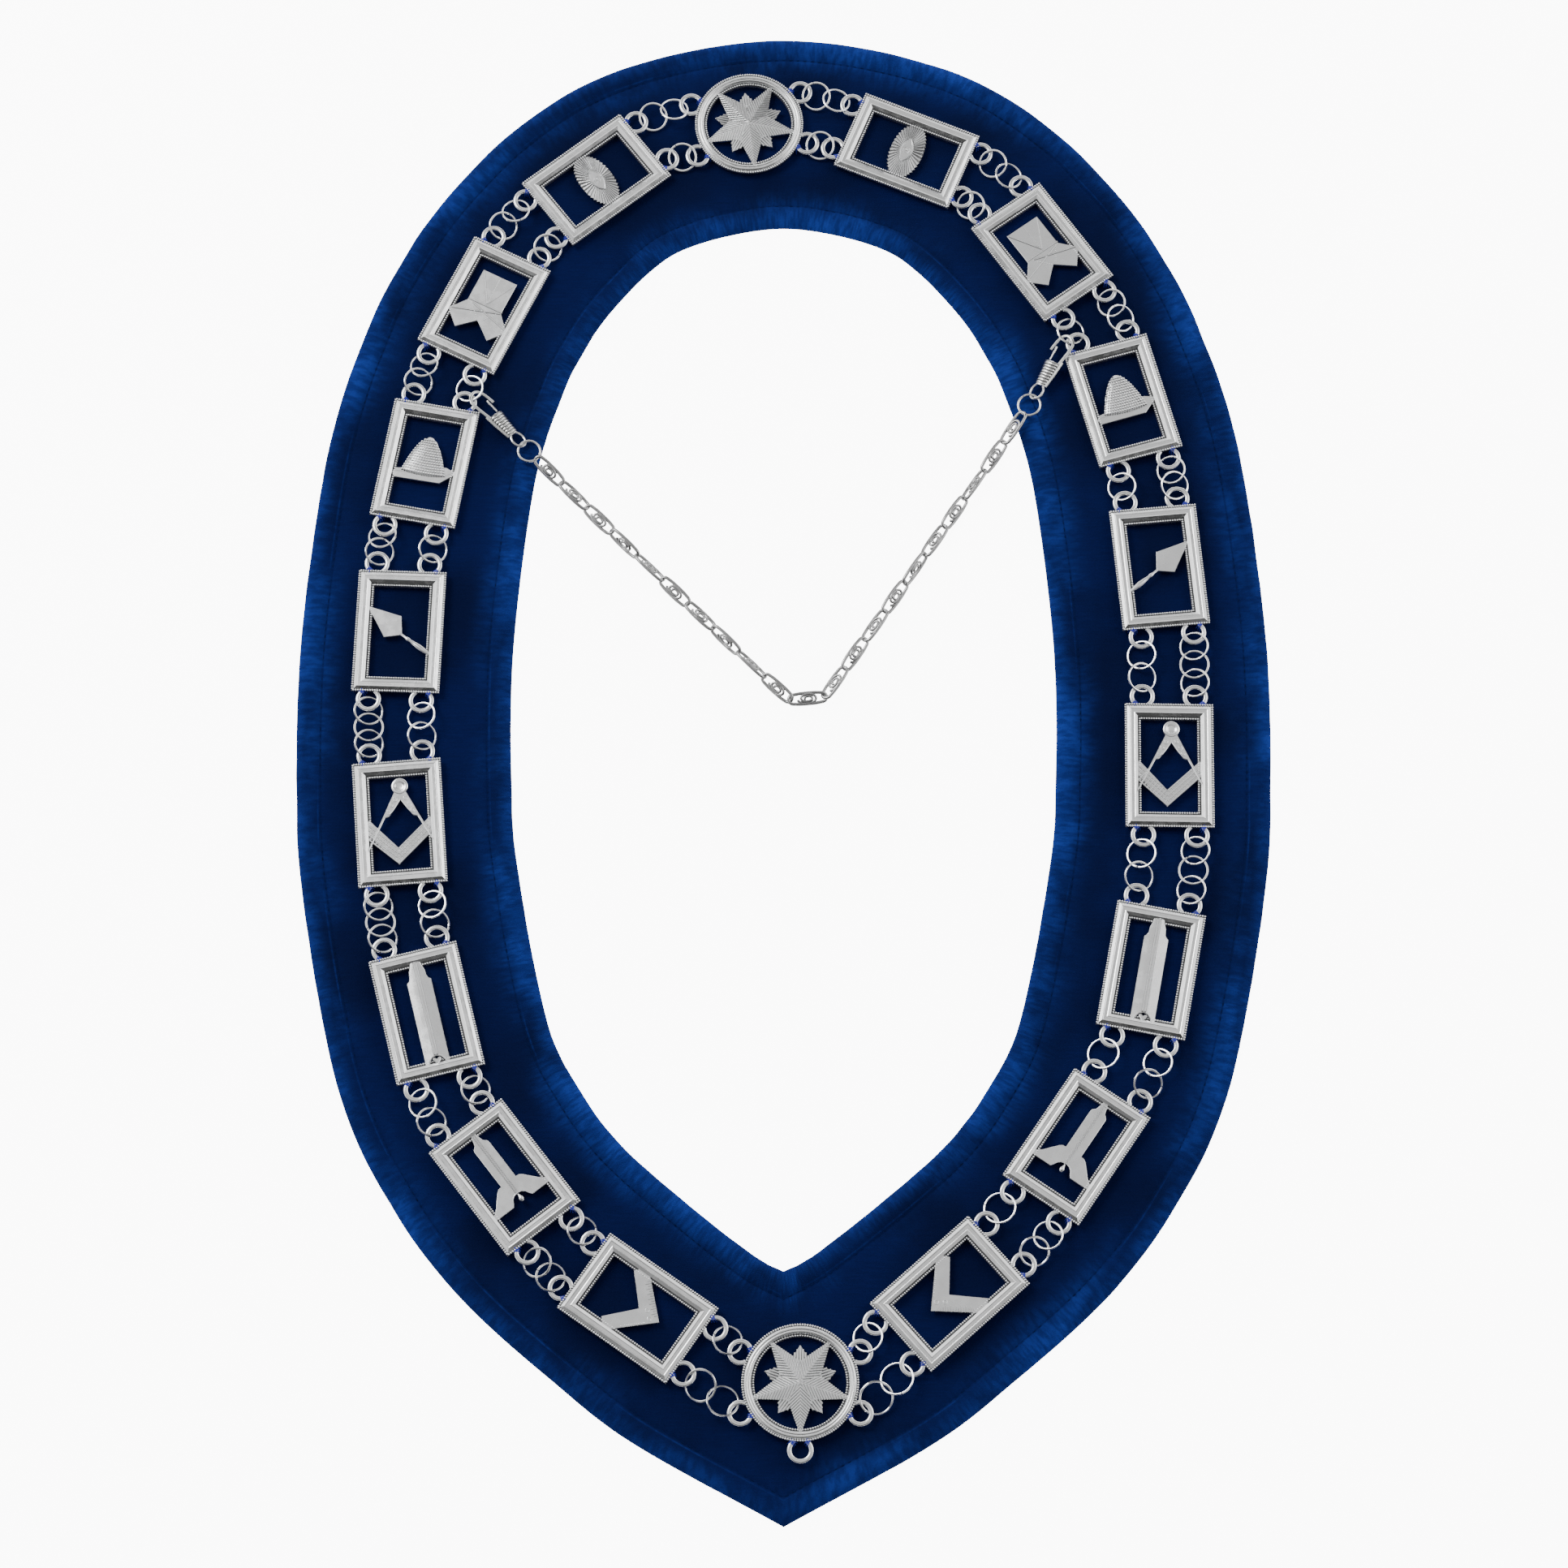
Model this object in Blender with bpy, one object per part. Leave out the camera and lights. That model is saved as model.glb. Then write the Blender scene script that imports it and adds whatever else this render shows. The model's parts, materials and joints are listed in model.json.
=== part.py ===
"""Masonic chain collar: a blue velvet teardrop with a silver chain, lying flat.

The velvet lies on the floor with its neck curve towards +Y and its point towards -Y.
A chain of sixteen oblong plates and two round stars runs round the middle of the velvet,
coupled at its outer and inner side by strands of jump rings. Two snap hooks hang on the
inner strands near the neck and hold a light scroll chain that crosses the neck opening.
All lengths are in metres and all angles in degrees, +Z up.
"""

import math
from collections import namedtuple

import bmesh
import bpy
from mathutils import Matrix, Vector

# Velvet collar
COLLAR_WIDTH = 0.440
COLLAR_LENGTH = 0.7015
BAND_WIDTH = 0.097
CLOTH_MIDDLE = 0.0021
CLOTH_HEM = 0.0030
CLOTH_EDGE = 0.0012
HEM_CREST = 0.0045
HEM_WIDTH = 0.0110
STATIONS_PER_ROW = 2

# Gaps between pieces that rest on, or pass through, each other
REST_GAP = 0.0003
LINK_GAP = 0.00018

# Oblong plates
PLATE_WIDTH = 0.0400
PLATE_LENGTH = 0.0580
FRAME_BAND = 0.0073
CREST_INSET = 0.0030
EDGE_OVER_LOOP = 0.0001
CREST_RISE = 0.0008
LIP_DROP = 0.0010
SYMBOL_OVERLAP = 0.0030
SYMBOL_THICKNESS = 0.0014
SYMBOL_SINK = 0.0002
RELIEF = 0.0007
OVAL_SIDES = 16
HEAD_SIDES = 10
EYE_CROWN = 0.50
HIVE_CROWN = 0.45

# Round star plates
STAR_OUTER = 0.0510
STAR_BAND = 0.0056
STAR_SIDES = 20
STAR_LONG = 0.0226
STAR_SHORT = 0.0163
STAR_VALLEY = 0.0124
STAR_RISE = 0.0016
STAR_LOOP_ANGLE = 27.0

# Fixed loops at the plates' ends
LOOP_OUTER = 0.0116
LOOP_WIDTH = 0.0021
LOOP_THICKNESS = 0.0009
LOOP_REACH = 0.0036
LOOP_SPREAD = 0.0120
LOOP_ARC = 104.0
LOOP_STEPS = 4
LOOP_SINK = 0.0006

# Jump rings
RING_BORE = 0.0116
RING_WIRE = 0.0011
RING_SIDES = 10
WIRE_SIDES = 5
RING_PLAY = 0.0009
WELD_SHARE = 0.65

# Snap hooks
BOW_LENGTH = 0.0149
BOW_STRIP = 0.0015
BOW_THICKNESS = 0.0012
BOW_CLEARANCE = 0.0005
BOW_HANG = 0.0032
BARREL_LENGTH = 0.0130
BARREL_WIDE = 0.0079
BARREL_NARROW = 0.0054
BARREL_THICKNESS = 0.0044
BARREL_SIDES = 8
BARREL_RIBS = 3
BARREL_RIB = 0.0004
EYE_LENGTH = 0.0076
EYE_WIDTH = 0.0072
EYE_SINK = 0.0010
EYE_WIRE = 0.0012
END_RING_OUTER = 0.0114
END_RING_WIRE = 0.0012
HOOK_LIFT = 0.0023
GATE_STRIP = 0.0011
GATE_CLEARANCE = 0.0004
GATE_MIDDLE = 0.6

# Scroll chain across the neck opening
CHAIN_THICKNESS = 0.0046
CHAIN_STEP = 0.0135
CHAIN_FLOOR_GAP = 0.0001
CHAIN_TURN = ((0.0023, 0.0209), (0.0174, 0.0205))

CollarRow = namedtuple("CollarRow", "route_x route_y")
# The middle of the right half of the band, from the neck down to the point, as shares of
# the route's half width and half length.
COLLAR_ROWS = (
    CollarRow(0.000, 1.000),
    CollarRow(0.413, 0.944),
    CollarRow(0.665, 0.818),
    CollarRow(0.797, 0.703),
    CollarRow(0.872, 0.603),
    CollarRow(0.948, 0.443),
    CollarRow(1.000, 0.160),
    CollarRow(0.998, -0.070),
    CollarRow(0.975, -0.215),
    CollarRow(0.886, -0.463),
    CollarRow(0.774, -0.603),
    CollarRow(0.589, -0.738),
    CollarRow(0.226, -0.907),
    CollarRow(0.000, -0.9772),
)

Place = namedtuple("Place", "name kind symbol route_x route_y turn")
# Every plate in clockwise order from the neck: its middle as shares of the route's half
# width and half length, and the turn of its upright from +Y.
PLACES = (
    Place("star_top", "star", "star", -0.095, 1.010, 7.0),
    Place("plate_eye_right", "right", "eye", 0.338, 0.964, 67.4),
    Place("plate_problem_right", "right", "problem", 0.704, 0.793, 35.7),
    Place("plate_beehive_right", "right", "beehive", 0.915, 0.547, 15.5),
    Place("plate_trowel_right", "right", "trowel", 1.001, 0.277, 5.1),
    Place("plate_compasses_right", "right", "compasses", 1.014, -0.036, -0.9),
    Place("plate_plumb_right", "right", "plumb", 0.952, -0.350, -10.9),
    Place("plate_level_right", "right", "level", 0.750, -0.614, -34.3),
    Place("plate_square_right", "right", "square", 0.421, -0.829, -48.4),
    Place("star_bottom", "star", "star", 0.042, -0.957, 0.0),
    Place("plate_square_left", "left", "square", -0.369, -0.850, 55.1),
    Place("plate_level_left", "left", "level", -0.713, -0.659, 37.9),
    Place("plate_plumb_left", "left", "plumb", -0.922, -0.415, 14.1),
    Place("plate_compasses_left", "left", "compasses", -1.005, -0.125, 4.6),
    Place("plate_trowel_left", "left", "trowel_mirrored", -1.020, 0.1745, -2.0),
    Place("plate_beehive_left", "left", "beehive", -0.963, 0.4445, -10.3),
    Place("plate_problem_left", "left", "problem", -0.813, 0.704, -26.3),
    Place("plate_eye_left", "left", "eye", -0.513, 0.915, -52.1),
)

Strand = namedtuple("Strand", "outer inner")
# How many jump rings couple each plate to the next, in the same order as PLACES.
STRANDS = (
    Strand(2, 1), Strand(2, 1), Strand(2, 1), Strand(2, 1), Strand(3, 2), Strand(3, 2),
    Strand(2, 1), Strand(2, 1), Strand(2, 1), Strand(2, 1), Strand(2, 1), Strand(2, 1),
    Strand(3, 2), Strand(3, 2), Strand(2, 1), Strand(2, 1), Strand(2, 1), Strand(2, 1),
)

Hook = namedtuple("Hook", "name strand direction hand")
# Which inner strand carries each snap hook, the way its bow points, and the side of its
# gate: 1 is to the left of the bow's direction and -1 to the right.
HOOKS = (
    Hook("right", 2, 61.7, 1),
    Hook("left", 15, 132.2, -1),
)

BowRow = namedtuple("BowRow", "along across")
# The middle of the bow's strip, from its foot in the barrel round to its open tip, as
# shares of the bow's length.
BOW_ROWS = (
    BowRow(-0.05, -0.200), BowRow(0.27, -0.262), BowRow(0.54, -0.305), BowRow(0.77, -0.312),
    BowRow(0.93, -0.200), BowRow(0.995, -0.020), BowRow(0.92, 0.130), BowRow(0.74, 0.212),
    BowRow(0.54, 0.252), BowRow(0.38, 0.270),
)


def edge_height(loop_level):
    """Height of a plate's outer edge, just over its loops."""
    return loop_level + LOOP_THICKNESS / 2 + EDGE_OVER_LOOP


def half_loop():
    """Middle radius of a fixed loop's wire."""
    return (LOOP_OUTER - LOOP_WIDTH) / 2


def route_half_width():
    """Half the width of the band's middle line."""
    return (COLLAR_WIDTH - BAND_WIDTH) / 2


def route_half_length():
    """Half the length of the band's middle line."""
    return (COLLAR_LENGTH - BAND_WIDTH) / 2


def material(name, colour, roughness, metallic):
    """Make a plain Principled BSDF material."""
    made = bpy.data.materials.new(name)
    made.use_nodes = True
    shader = made.node_tree.nodes["Principled BSDF"]
    shader.inputs["Base Color"].default_value = (*colour, 1.0)
    shader.inputs["Roughness"].default_value = roughness
    shader.inputs["Metallic"].default_value = metallic
    return made


def add_object(name, mesh, finish):
    """Link a finished mesh to the scene as an object of its own."""
    made = bpy.data.objects.new(name, mesh)
    mesh.materials.clear()
    mesh.materials.append(finish)
    bpy.context.collection.objects.link(made)
    return made


def mesh_from(points, faces, name="shape"):
    """Make a closed mesh from points and faces, its faces turned outwards."""
    shape = bmesh.new()
    corners = [shape.verts.new(point) for point in points]
    for face in faces:
        shape.faces.new([corners[index] for index in face])
    bmesh.ops.recalc_face_normals(shape, faces=shape.faces)
    made = bpy.data.meshes.new(name)
    shape.to_mesh(made)
    shape.free()
    return made


def fuse(name, meshes, finish):
    """Join overlapping closed meshes into one body with Boolean unions."""
    base = add_object(name, meshes[0], finish)
    tools = []
    for index, mesh in enumerate(meshes[1:]):
        tool = add_object(f"{name}_tool_{index}", mesh, finish)
        tool.hide_render = True
        tool.display_type = "WIRE"
        union = base.modifiers.new(f"join_{index}", "BOOLEAN")
        union.operation = "UNION"
        union.solver = "EXACT"
        union.object = tool
        tools.append(tool)
    if tools:
        graph = bpy.context.evaluated_depsgraph_get()
        joined = bpy.data.meshes.new_from_object(base.evaluated_get(graph))
        base.modifiers.clear()
        base.data = joined
    for tool in tools:
        bpy.data.objects.remove(tool)
    return base


def smooth_curve(points, steps):
    """Sample a Catmull-Rom curve, whose first and last points only steer it."""
    sampled = []
    for index in range(1, len(points) - 2):
        before, start, end, after = points[index - 1:index + 3]
        for step in range(steps):
            t = step / steps
            sampled.append(0.5 * (2 * start + (end - before) * t
                                  + (2 * before - 5 * start + 4 * end - after) * t ** 2
                                  + (3 * start - before - 3 * end + after) * t ** 3))
    sampled.append(points[-2])
    return sampled


def sweep(frames, section, closed):
    """Sweep a section of (out, up) offsets along frames of (point, out, up) vectors."""
    points = []
    for point, out, up in frames:
        points += [point + out * across + up * rise for across, rise in section]
    count = len(section)
    last = len(frames) if closed else len(frames) - 1
    faces = []
    for index in range(last):
        here = index * count
        there = (index + 1) % len(frames) * count
        for side in range(count):
            turn = (side + 1) % count
            faces.append((here + side, here + turn, there + turn, there + side))
    if not closed:
        faces.append(tuple(range(count)))
        faces.append(tuple(len(points) - count + side for side in range(count)))
    return mesh_from(points, faces)


def round_section(wire, sides=WIRE_SIDES):
    """Corners of a round wire's section."""
    return [(wire / 2 * math.cos(math.tau * side / sides),
             wire / 2 * math.sin(math.tau * side / sides)) for side in range(sides)]


def flat_section(width, thickness):
    """Corners of a flat strip's section."""
    return [(width / 2, thickness / 2), (-width / 2, thickness / 2),
            (-width / 2, -thickness / 2), (width / 2, -thickness / 2)]


def ring_mesh(centre, along, across, radius, wire, stretch=1.0):
    """A closed ring of round wire in the plane of two directions, stretched along one."""
    across = (across - along * across.dot(along) / along.dot(along)).normalized()
    along = along.normalized()
    up = along.cross(across)
    frames = []
    for side in range(RING_SIDES):
        angle = math.tau * side / RING_SIDES
        out = along * math.cos(angle) + across * math.sin(angle)
        shift = along * math.cos(angle) * radius * (stretch - 1)
        frames.append((centre + out * radius + shift, out, up))
    return sweep(frames, round_section(wire), closed=True)


def prism(outline, low, high):
    """An outline of (x, y) corners, closed between two heights."""
    count = len(outline)
    points = [Vector((x, y, low)) for x, y in outline]
    points += [Vector((x, y, high)) for x, y in outline]
    faces = [tuple(range(count)), tuple(range(count, 2 * count))]
    for side in range(count):
        turn = (side + 1) % count
        faces.append((side, turn, turn + count, side + count))
    return mesh_from(points, faces)


def dome(outline, low, edge, top, shrink):
    """A prism whose upper rim is drawn in towards its middle and raised."""
    middle_x = sum(x for x, _ in outline) / len(outline)
    middle_y = sum(y for _, y in outline) / len(outline)
    count = len(outline)
    points = [Vector((x, y, low)) for x, y in outline]
    points += [Vector((x, y, edge)) for x, y in outline]
    points += [Vector((middle_x + (x - middle_x) * shrink,
                       middle_y + (y - middle_y) * shrink, top)) for x, y in outline]
    faces = [tuple(range(count)), tuple(range(2 * count, 3 * count))]
    for level in (0, count):
        for side in range(count):
            turn = (side + 1) % count
            faces.append((level + side, level + turn, level + turn + count, level + side + count))
    return mesh_from(points, faces)


def oval(radius_x, radius_y, sides, centre=(0.0, 0.0)):
    """Corners of an oval outline."""
    return [(centre[0] + radius_x * math.cos(math.tau * side / sides),
             centre[1] + radius_y * math.sin(math.tau * side / sides)) for side in range(sides)]


def scaled(outline, unit_x, unit_y):
    """An outline given in shares, brought to its size."""
    return [(x * unit_x, y * unit_y) for x, y in outline]


def mirrored(outline, middle=0.0):
    """An outline turned over about an upright line."""
    return [(2 * middle - x, y) for x, y in outline]


def band_stations():
    """Middle, inner and outer edge of the band at each station, round the whole collar."""
    half_band = BAND_WIDTH / 2
    rows = [Vector((row.route_x * route_half_width(), row.route_y * route_half_length(), 0))
            for row in COLLAR_ROWS]
    steering = [Vector((-rows[1].x, rows[1].y, 0)), *rows[:-1], rows[-1]]
    middles = smooth_curve(steering, STATIONS_PER_ROW)
    right = []
    for index, middle in enumerate(middles):
        before = middles[index - 1] if index else Vector((-middles[1].x, middles[1].y, 0))
        after = middles[index + 1] if index + 1 < len(middles) else rows[-1]
        run = (after - before).normalized()
        out = Vector((-run.y, run.x, 0))
        right.append((middle, out * half_band))
    last = (rows[-1] - middles[-1]).normalized()
    point_out = Vector((0, -half_band / abs(last.x), 0))
    point = [(rows[-1], point_out)]
    left = [(Vector((-middle.x, middle.y, 0)), Vector((-out.x, out.y, 0)))
            for middle, out in right[:0:-1]]
    return right + point + left


def build_velvet(finish):
    """The velvet band: flat underneath, with a padded hem along both edges."""
    half_band = BAND_WIDTH / 2
    profile = [(1.0, 0.0), (1.0, CLOTH_EDGE), (1 - HEM_CREST / half_band, CLOTH_HEM),
               (1 - HEM_WIDTH / half_band, CLOTH_MIDDLE)]
    profile += [(-share, height) for share, height in reversed(profile)]
    frames = [(middle, out, Vector((0, 0, 1))) for middle, out in band_stations()]
    velvet = sweep(frames, profile, closed=True)
    return add_object("velvet_collar", velvet, finish)


def loop_mesh(centre, outward, height):
    """A fixed loop of flattened wire, open towards the plate that it is soldered to."""
    section = [(LOOP_WIDTH / 2, 0), (0, LOOP_THICKNESS / 2), (-LOOP_WIDTH / 2, 0),
               (0, -LOOP_THICKNESS / 2)]
    aside = Vector((-outward.y, outward.x, 0))
    middle = Vector((centre.x, centre.y, height))
    up = Vector((0, 0, 1))
    leg = aside * math.sqrt(half_loop() ** 2 - LOOP_REACH ** 2) - outward * (LOOP_REACH + LOOP_SINK)
    corner = half_loop() / math.sqrt(math.cos(math.radians(LOOP_ARC / LOOP_STEPS)))
    frames = [(middle + leg - 2 * leg.project(aside), -aside, up)]
    for step in range(LOOP_STEPS + 1):
        angle = math.radians(LOOP_ARC * (2 * step / LOOP_STEPS - 1))
        out = outward * math.cos(angle) + aside * math.sin(angle)
        frames.append((middle + out * corner, out, up))
    frames.append((middle + leg, aside, up))
    return sweep(frames, section, closed=False)


def frame_profile(height):
    """Inset, as a share of the band, and height of a plate frame's edge, crest and lip."""
    edge = edge_height(height)
    back = CLOTH_MIDDLE + REST_GAP
    return [(0.0, back), (0.0, edge), (CREST_INSET / FRAME_BAND, edge + CREST_RISE),
            (1.0, edge - LIP_DROP), (1.0, back)]


def oblong_frame(height):
    """The oblong frame round a plate's window."""
    points = []
    faces = []
    profile = frame_profile(height)
    for side_x, side_y in ((1, 1), (-1, 1), (-1, -1), (1, -1)):
        for share, level in profile:
            inset = share * FRAME_BAND
            points.append(Vector((side_x * (PLATE_WIDTH / 2 - inset),
                                  side_y * (PLATE_LENGTH / 2 - inset), level)))
    count = len(profile)
    for corner in range(4):
        here = corner * count
        there = (corner + 1) % 4 * count
        for side in range(count):
            turn = (side + 1) % count
            faces.append((here + side, here + turn, there + turn, there + side))
    return mesh_from(points, faces)


def round_frame(height):
    """The round frame of a star plate."""
    section = [(-share * STAR_BAND, level) for share, level in frame_profile(height)]
    frames = []
    for side in range(STAR_SIDES):
        angle = math.tau * side / STAR_SIDES
        out = Vector((math.cos(angle), math.sin(angle), 0))
        frames.append((out * STAR_OUTER / 2, out, Vector((0, 0, 1))))
    return sweep(frames, section, closed=True)


# Each symbol is drawn in shares of unit, which is half its greatest width, and of rise,
# half its greatest length, between the heights low and high.
def eye_symbol(unit, rise, low, high):
    """A rayed oval with an eye."""
    return [dome(oval(0.92 * unit, 0.50 * unit, OVAL_SIDES), low, high, high + RELIEF, EYE_CROWN)]


def problem_symbol(unit, rise, low, high):
    """The figure of one upright square over two tilted squares."""
    outline = [(-0.548, 1.020), (0.560, 1.020), (0.560, -0.020), (0.970, -0.510),
               (0.586, -0.968), (0.038, -0.516), (-0.478, -0.968), (-0.930, -0.530),
               (-0.535, -0.045)]
    return [prism(scaled(outline, unit, unit), low, high)]


def beehive_symbol(unit, rise, low, high):
    """A beehive on a plank."""
    plank = [(-0.930, -0.573), (0.503, -0.548), (0.880, -0.160), (0.620, -0.020),
             (-0.800, -0.300)]
    hive = [(-0.730, -0.280), (-0.060, -0.330), (0.620, -0.100), (0.420, 0.290),
            (0.240, 0.570), (-0.057, 0.840), (-0.340, 0.570), (-0.500, 0.290)]
    return [prism(scaled(plank, unit, unit), low, high),
            dome(scaled(hive, unit, unit), low + SYMBOL_SINK, high + RELIEF / 2,
                 high + 2 * RELIEF, HIVE_CROWN)]


def trowel_outlines(unit):
    """A trowel's blade and its handle."""
    blade = [(-0.025, 0.490), (0.940, 0.745), (0.420, -0.185), (-0.110, -0.120)]
    handle = [(-0.020, -0.090), (-0.340, -0.250), (-0.620, -0.400), (-0.960, -0.660),
              (-0.910, -0.740), (-0.560, -0.560), (-0.400, -0.380), (-0.060, -0.170)]
    return [scaled(blade, unit, unit), scaled(handle, unit, unit)]


def trowel_symbol(unit, rise, low, high):
    """A trowel with its point to the right."""
    blade, handle = trowel_outlines(unit)
    return [prism(blade, low, high),
            prism(handle, low + SYMBOL_SINK, high + RELIEF)]


def trowel_mirrored_symbol(unit, rise, low, high):
    """A trowel with its point to the left."""
    blade, handle = trowel_outlines(unit)
    return [prism(mirrored(blade), low, high),
            prism(mirrored(handle), low + SYMBOL_SINK, high + RELIEF)]


def compasses_symbol(unit, rise, low, high):
    """A pair of compasses over a square."""
    square = [(-0.07, -1.23), (0.98, -0.27), (0.98, 0.05), (0.86, 0.10), (-0.07, -0.727),
              (-0.84, 0.10), (-0.96, 0.07), (-0.96, -0.27)]
    leg = [(-0.13, 0.90), (-1.06, -1.04), (-0.36, 0.20), (-0.20, 0.30), (0.08, 0.72),
           (0.08, 0.98)]
    middle = 0.05
    raised = high + RELIEF
    return [prism(scaled(square, unit, unit), low, high),
            prism(scaled(leg, unit, unit), low + SYMBOL_SINK, raised),
            prism(scaled(mirrored(leg, middle), unit, unit), low + 2 * SYMBOL_SINK,
                  raised + SYMBOL_SINK),
            prism(oval(0.236 * unit, 0.236 * unit, HEAD_SIDES, (middle * unit, 1.076 * unit)),
                  low + 3 * SYMBOL_SINK, raised + RELIEF / 2)]


def plumb_symbol(unit, rise, low, high):
    """A plumb rule as long as the window."""
    rule = [(-0.38, -1.01), (-0.28, -1.01), (-0.22, -0.87), (-0.10, -0.80), (0.06, -0.80),
            (0.18, -0.87), (0.24, -1.01), (0.34, -1.01), (0.34, 0.61), (0.27, 0.67),
            (0.17, 0.91), (0.11, 1.01), (-0.13, 1.01), (-0.19, 0.91), (-0.29, 0.67),
            (-0.38, 0.61)]
    return [prism(scaled(rule, unit, rise), low, high)]


def level_symbol(unit, rise, low, high):
    """A level: a post on spreading feet."""
    half = [(0.08, 0.99), (0.16, 0.79), (0.25, 0.72), (0.25, -0.10), (0.43, -0.155),
            (0.75, -0.385), (0.98, -0.49), (0.98, -0.543), (0.27, -0.543), (0.15, -0.41)]
    body = half + [(-x, y) for x, y in reversed(half)]
    return [prism(scaled(body, unit, rise), low, high)]


def square_symbol(unit, rise, low, high):
    """A mason's square with its corner down."""
    outline = [(-1.08, 0.465), (0.0, -0.70), (1.08, 0.465), (0.77, 0.713), (0.0, -0.02),
               (-0.77, 0.713)]
    return [prism(scaled(outline, unit, unit), low, high)]


def star_symbol(height):
    """A star of five long and five short points, rising to its middle."""
    high = edge_height(height) - LIP_DROP - SYMBOL_SINK
    low = high - SYMBOL_THICKNESS
    outline = []
    for point in range(10):
        reach = STAR_LONG if point % 2 == 0 else STAR_SHORT
        angle = math.radians(-90 + 36 * point)
        valley = angle + math.radians(18)
        outline.append((reach * math.cos(angle), reach * math.sin(angle)))
        outline.append((STAR_VALLEY * math.cos(valley), STAR_VALLEY * math.sin(valley)))
    count = len(outline)
    points = [Vector((x, y, low)) for x, y in outline]
    points += [Vector((x, y, high)) for x, y in outline]
    points.append(Vector((0, 0, high + STAR_RISE)))
    faces = [tuple(range(count))]
    for side in range(count):
        turn = (side + 1) % count
        faces.append((side, turn, turn + count, side + count))
        faces.append((side + count, turn + count, 2 * count))
    return mesh_from(points, faces)


SYMBOLS = {
    "eye": eye_symbol,
    "problem": problem_symbol,
    "beehive": beehive_symbol,
    "trowel": trowel_symbol,
    "trowel_mirrored": trowel_mirrored_symbol,
    "compasses": compasses_symbol,
    "plumb": plumb_symbol,
    "level": level_symbol,
    "square": square_symbol,
}


def place_matrix(place):
    """Where a plate lies on the band."""
    middle = Vector((place.route_x * route_half_width(), place.route_y * route_half_length(), 0))
    return Matrix.Translation(middle) @ Matrix.Rotation(math.radians(place.turn), 4, "Z")


def loop_seats(place):
    """Loop centres in a plate's own frame, each with its outward direction, by place."""
    seats = {}
    if place.kind == "star":
        reach = STAR_OUTER / 2 + LOOP_REACH
        upper_outer = place.route_y > 0
        for end, middle in (("leave", 0 if upper_outer else 180),
                            ("enter", 180 if upper_outer else 0)):
            for side, sign in (("outer", 1), ("inner", -1)):
                turn = sign * STAR_LOOP_ANGLE * (1 if end == "leave" else -1)
                angle = math.radians(middle + turn)
                out = Vector((math.cos(angle), math.sin(angle), 0))
                seats[end, side] = (out * reach, out)
        return seats
    outer_side = 1 if place.kind == "right" else -1
    leave_end = -1 if place.kind == "right" else 1
    reach = PLATE_LENGTH / 2 + LOOP_REACH
    for end, end_sign in (("leave", leave_end), ("enter", -leave_end)):
        for side, side_sign in (("outer", outer_side), ("inner", -outer_side)):
            centre = Vector((side_sign * LOOP_SPREAD, end_sign * reach, 0))
            seats[end, side] = (centre, Vector((0, end_sign, 0)))
    return seats


def seat_in_place(place, end, side):
    """A loop's centre in the collar's frame."""
    return place_matrix(place) @ loop_seats(place)[end, side][0]


def strand_plan(start, end, count, roll_sign):
    """Sizes and slopes of a strand of rings between two loop centres.

    The rings of a strand lie in planes that are rolled about the strand, so that each
    passes over one side of its neighbour and under the other. Returns the bore, and for
    each ring its distance along the strand, its roll, its pitch and the distance at which
    its plane is level with the loops.
    """
    span = (end - start).length
    loop_bore = LOOP_OUTER / 2 - LOOP_WIDTH
    needed = (span - 2 * loop_bore + (count + 1) * RING_PLAY) / count
    bore = max(RING_BORE, needed)
    play = (count * bore - span + 2 * loop_bore) / (count + 1)
    radius = (bore + RING_WIRE) / 2
    first = loop_bore - play + bore / 2
    step = bore - play
    rolls = []
    for reach, thickness in ((loop_bore, 0.0), (half_loop(), LOOP_THICKNESS)):
        foot = (reach ** 2 - radius ** 2 + first ** 2) / (2 * first)
        crossing = math.sqrt(reach ** 2 - foot ** 2)
        rolls.append(((thickness + RING_WIRE) / 2 + LINK_GAP) / crossing)
    roll = max(rolls)
    level = (half_loop() ** 2 - radius ** 2 + first ** 2) / (2 * first)
    weld = WELD_SHARE * RING_WIRE
    height = math.sqrt(radius ** 2 - (step / 2) ** 2) / math.sqrt(1 + roll ** 2)
    if count == 1:
        slopes = [(roll, 0.0, level)]
    elif count == 2:
        tilt = (2 * roll * height - weld) / (span - 2 * level) * 2
        slopes = [(roll, 0.0, level), (-roll, -tilt, span - level)]
    else:
        slopes = [(roll, 0.0, level), (roll - weld / height, 0.0, span / 2),
                  (roll, 0.0, span - level)]
    rings = [(first + index * step, roll_sign * roll_, pitch, anchor)
             for index, (roll_, pitch, anchor) in enumerate(slopes)]
    return bore, rings


def strand_ends():
    """Every strand's two loop centres, its number of rings and its name, in order."""
    ends = []
    for index, strand in enumerate(STRANDS):
        place = PLACES[index]
        after = PLACES[(index + 1) % len(PLACES)]
        for side, count in (("outer", strand.outer), ("inner", strand.inner)):
            start = seat_in_place(place, "leave", side)
            end = seat_in_place(after, "enter", side)
            hooked = side == "inner" and any(hook.strand == index for hook in HOOKS)
            ends.append((f"rings_{side}_{index + 1:02d}", start, end, count, -1 if hooked else 1))
    return ends


def ring_frames(start, end, count, roll_sign, height):
    """Centre and plane directions of each ring of a strand at a loop height."""
    bore, rings = strand_plan(start, end, count, roll_sign)
    run = (end - start).normalized()
    aside = Vector((-run.y, run.x, 0))
    made = []
    for distance, roll, pitch, anchor in rings:
        centre = start + run * distance + Vector((0, 0, height + pitch * (distance - anchor)))
        along = run + Vector((0, 0, pitch))
        across = aside + Vector((0, 0, roll))
        made.append((centre, along, across, (bore + RING_WIRE) / 2))
    return made


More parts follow.
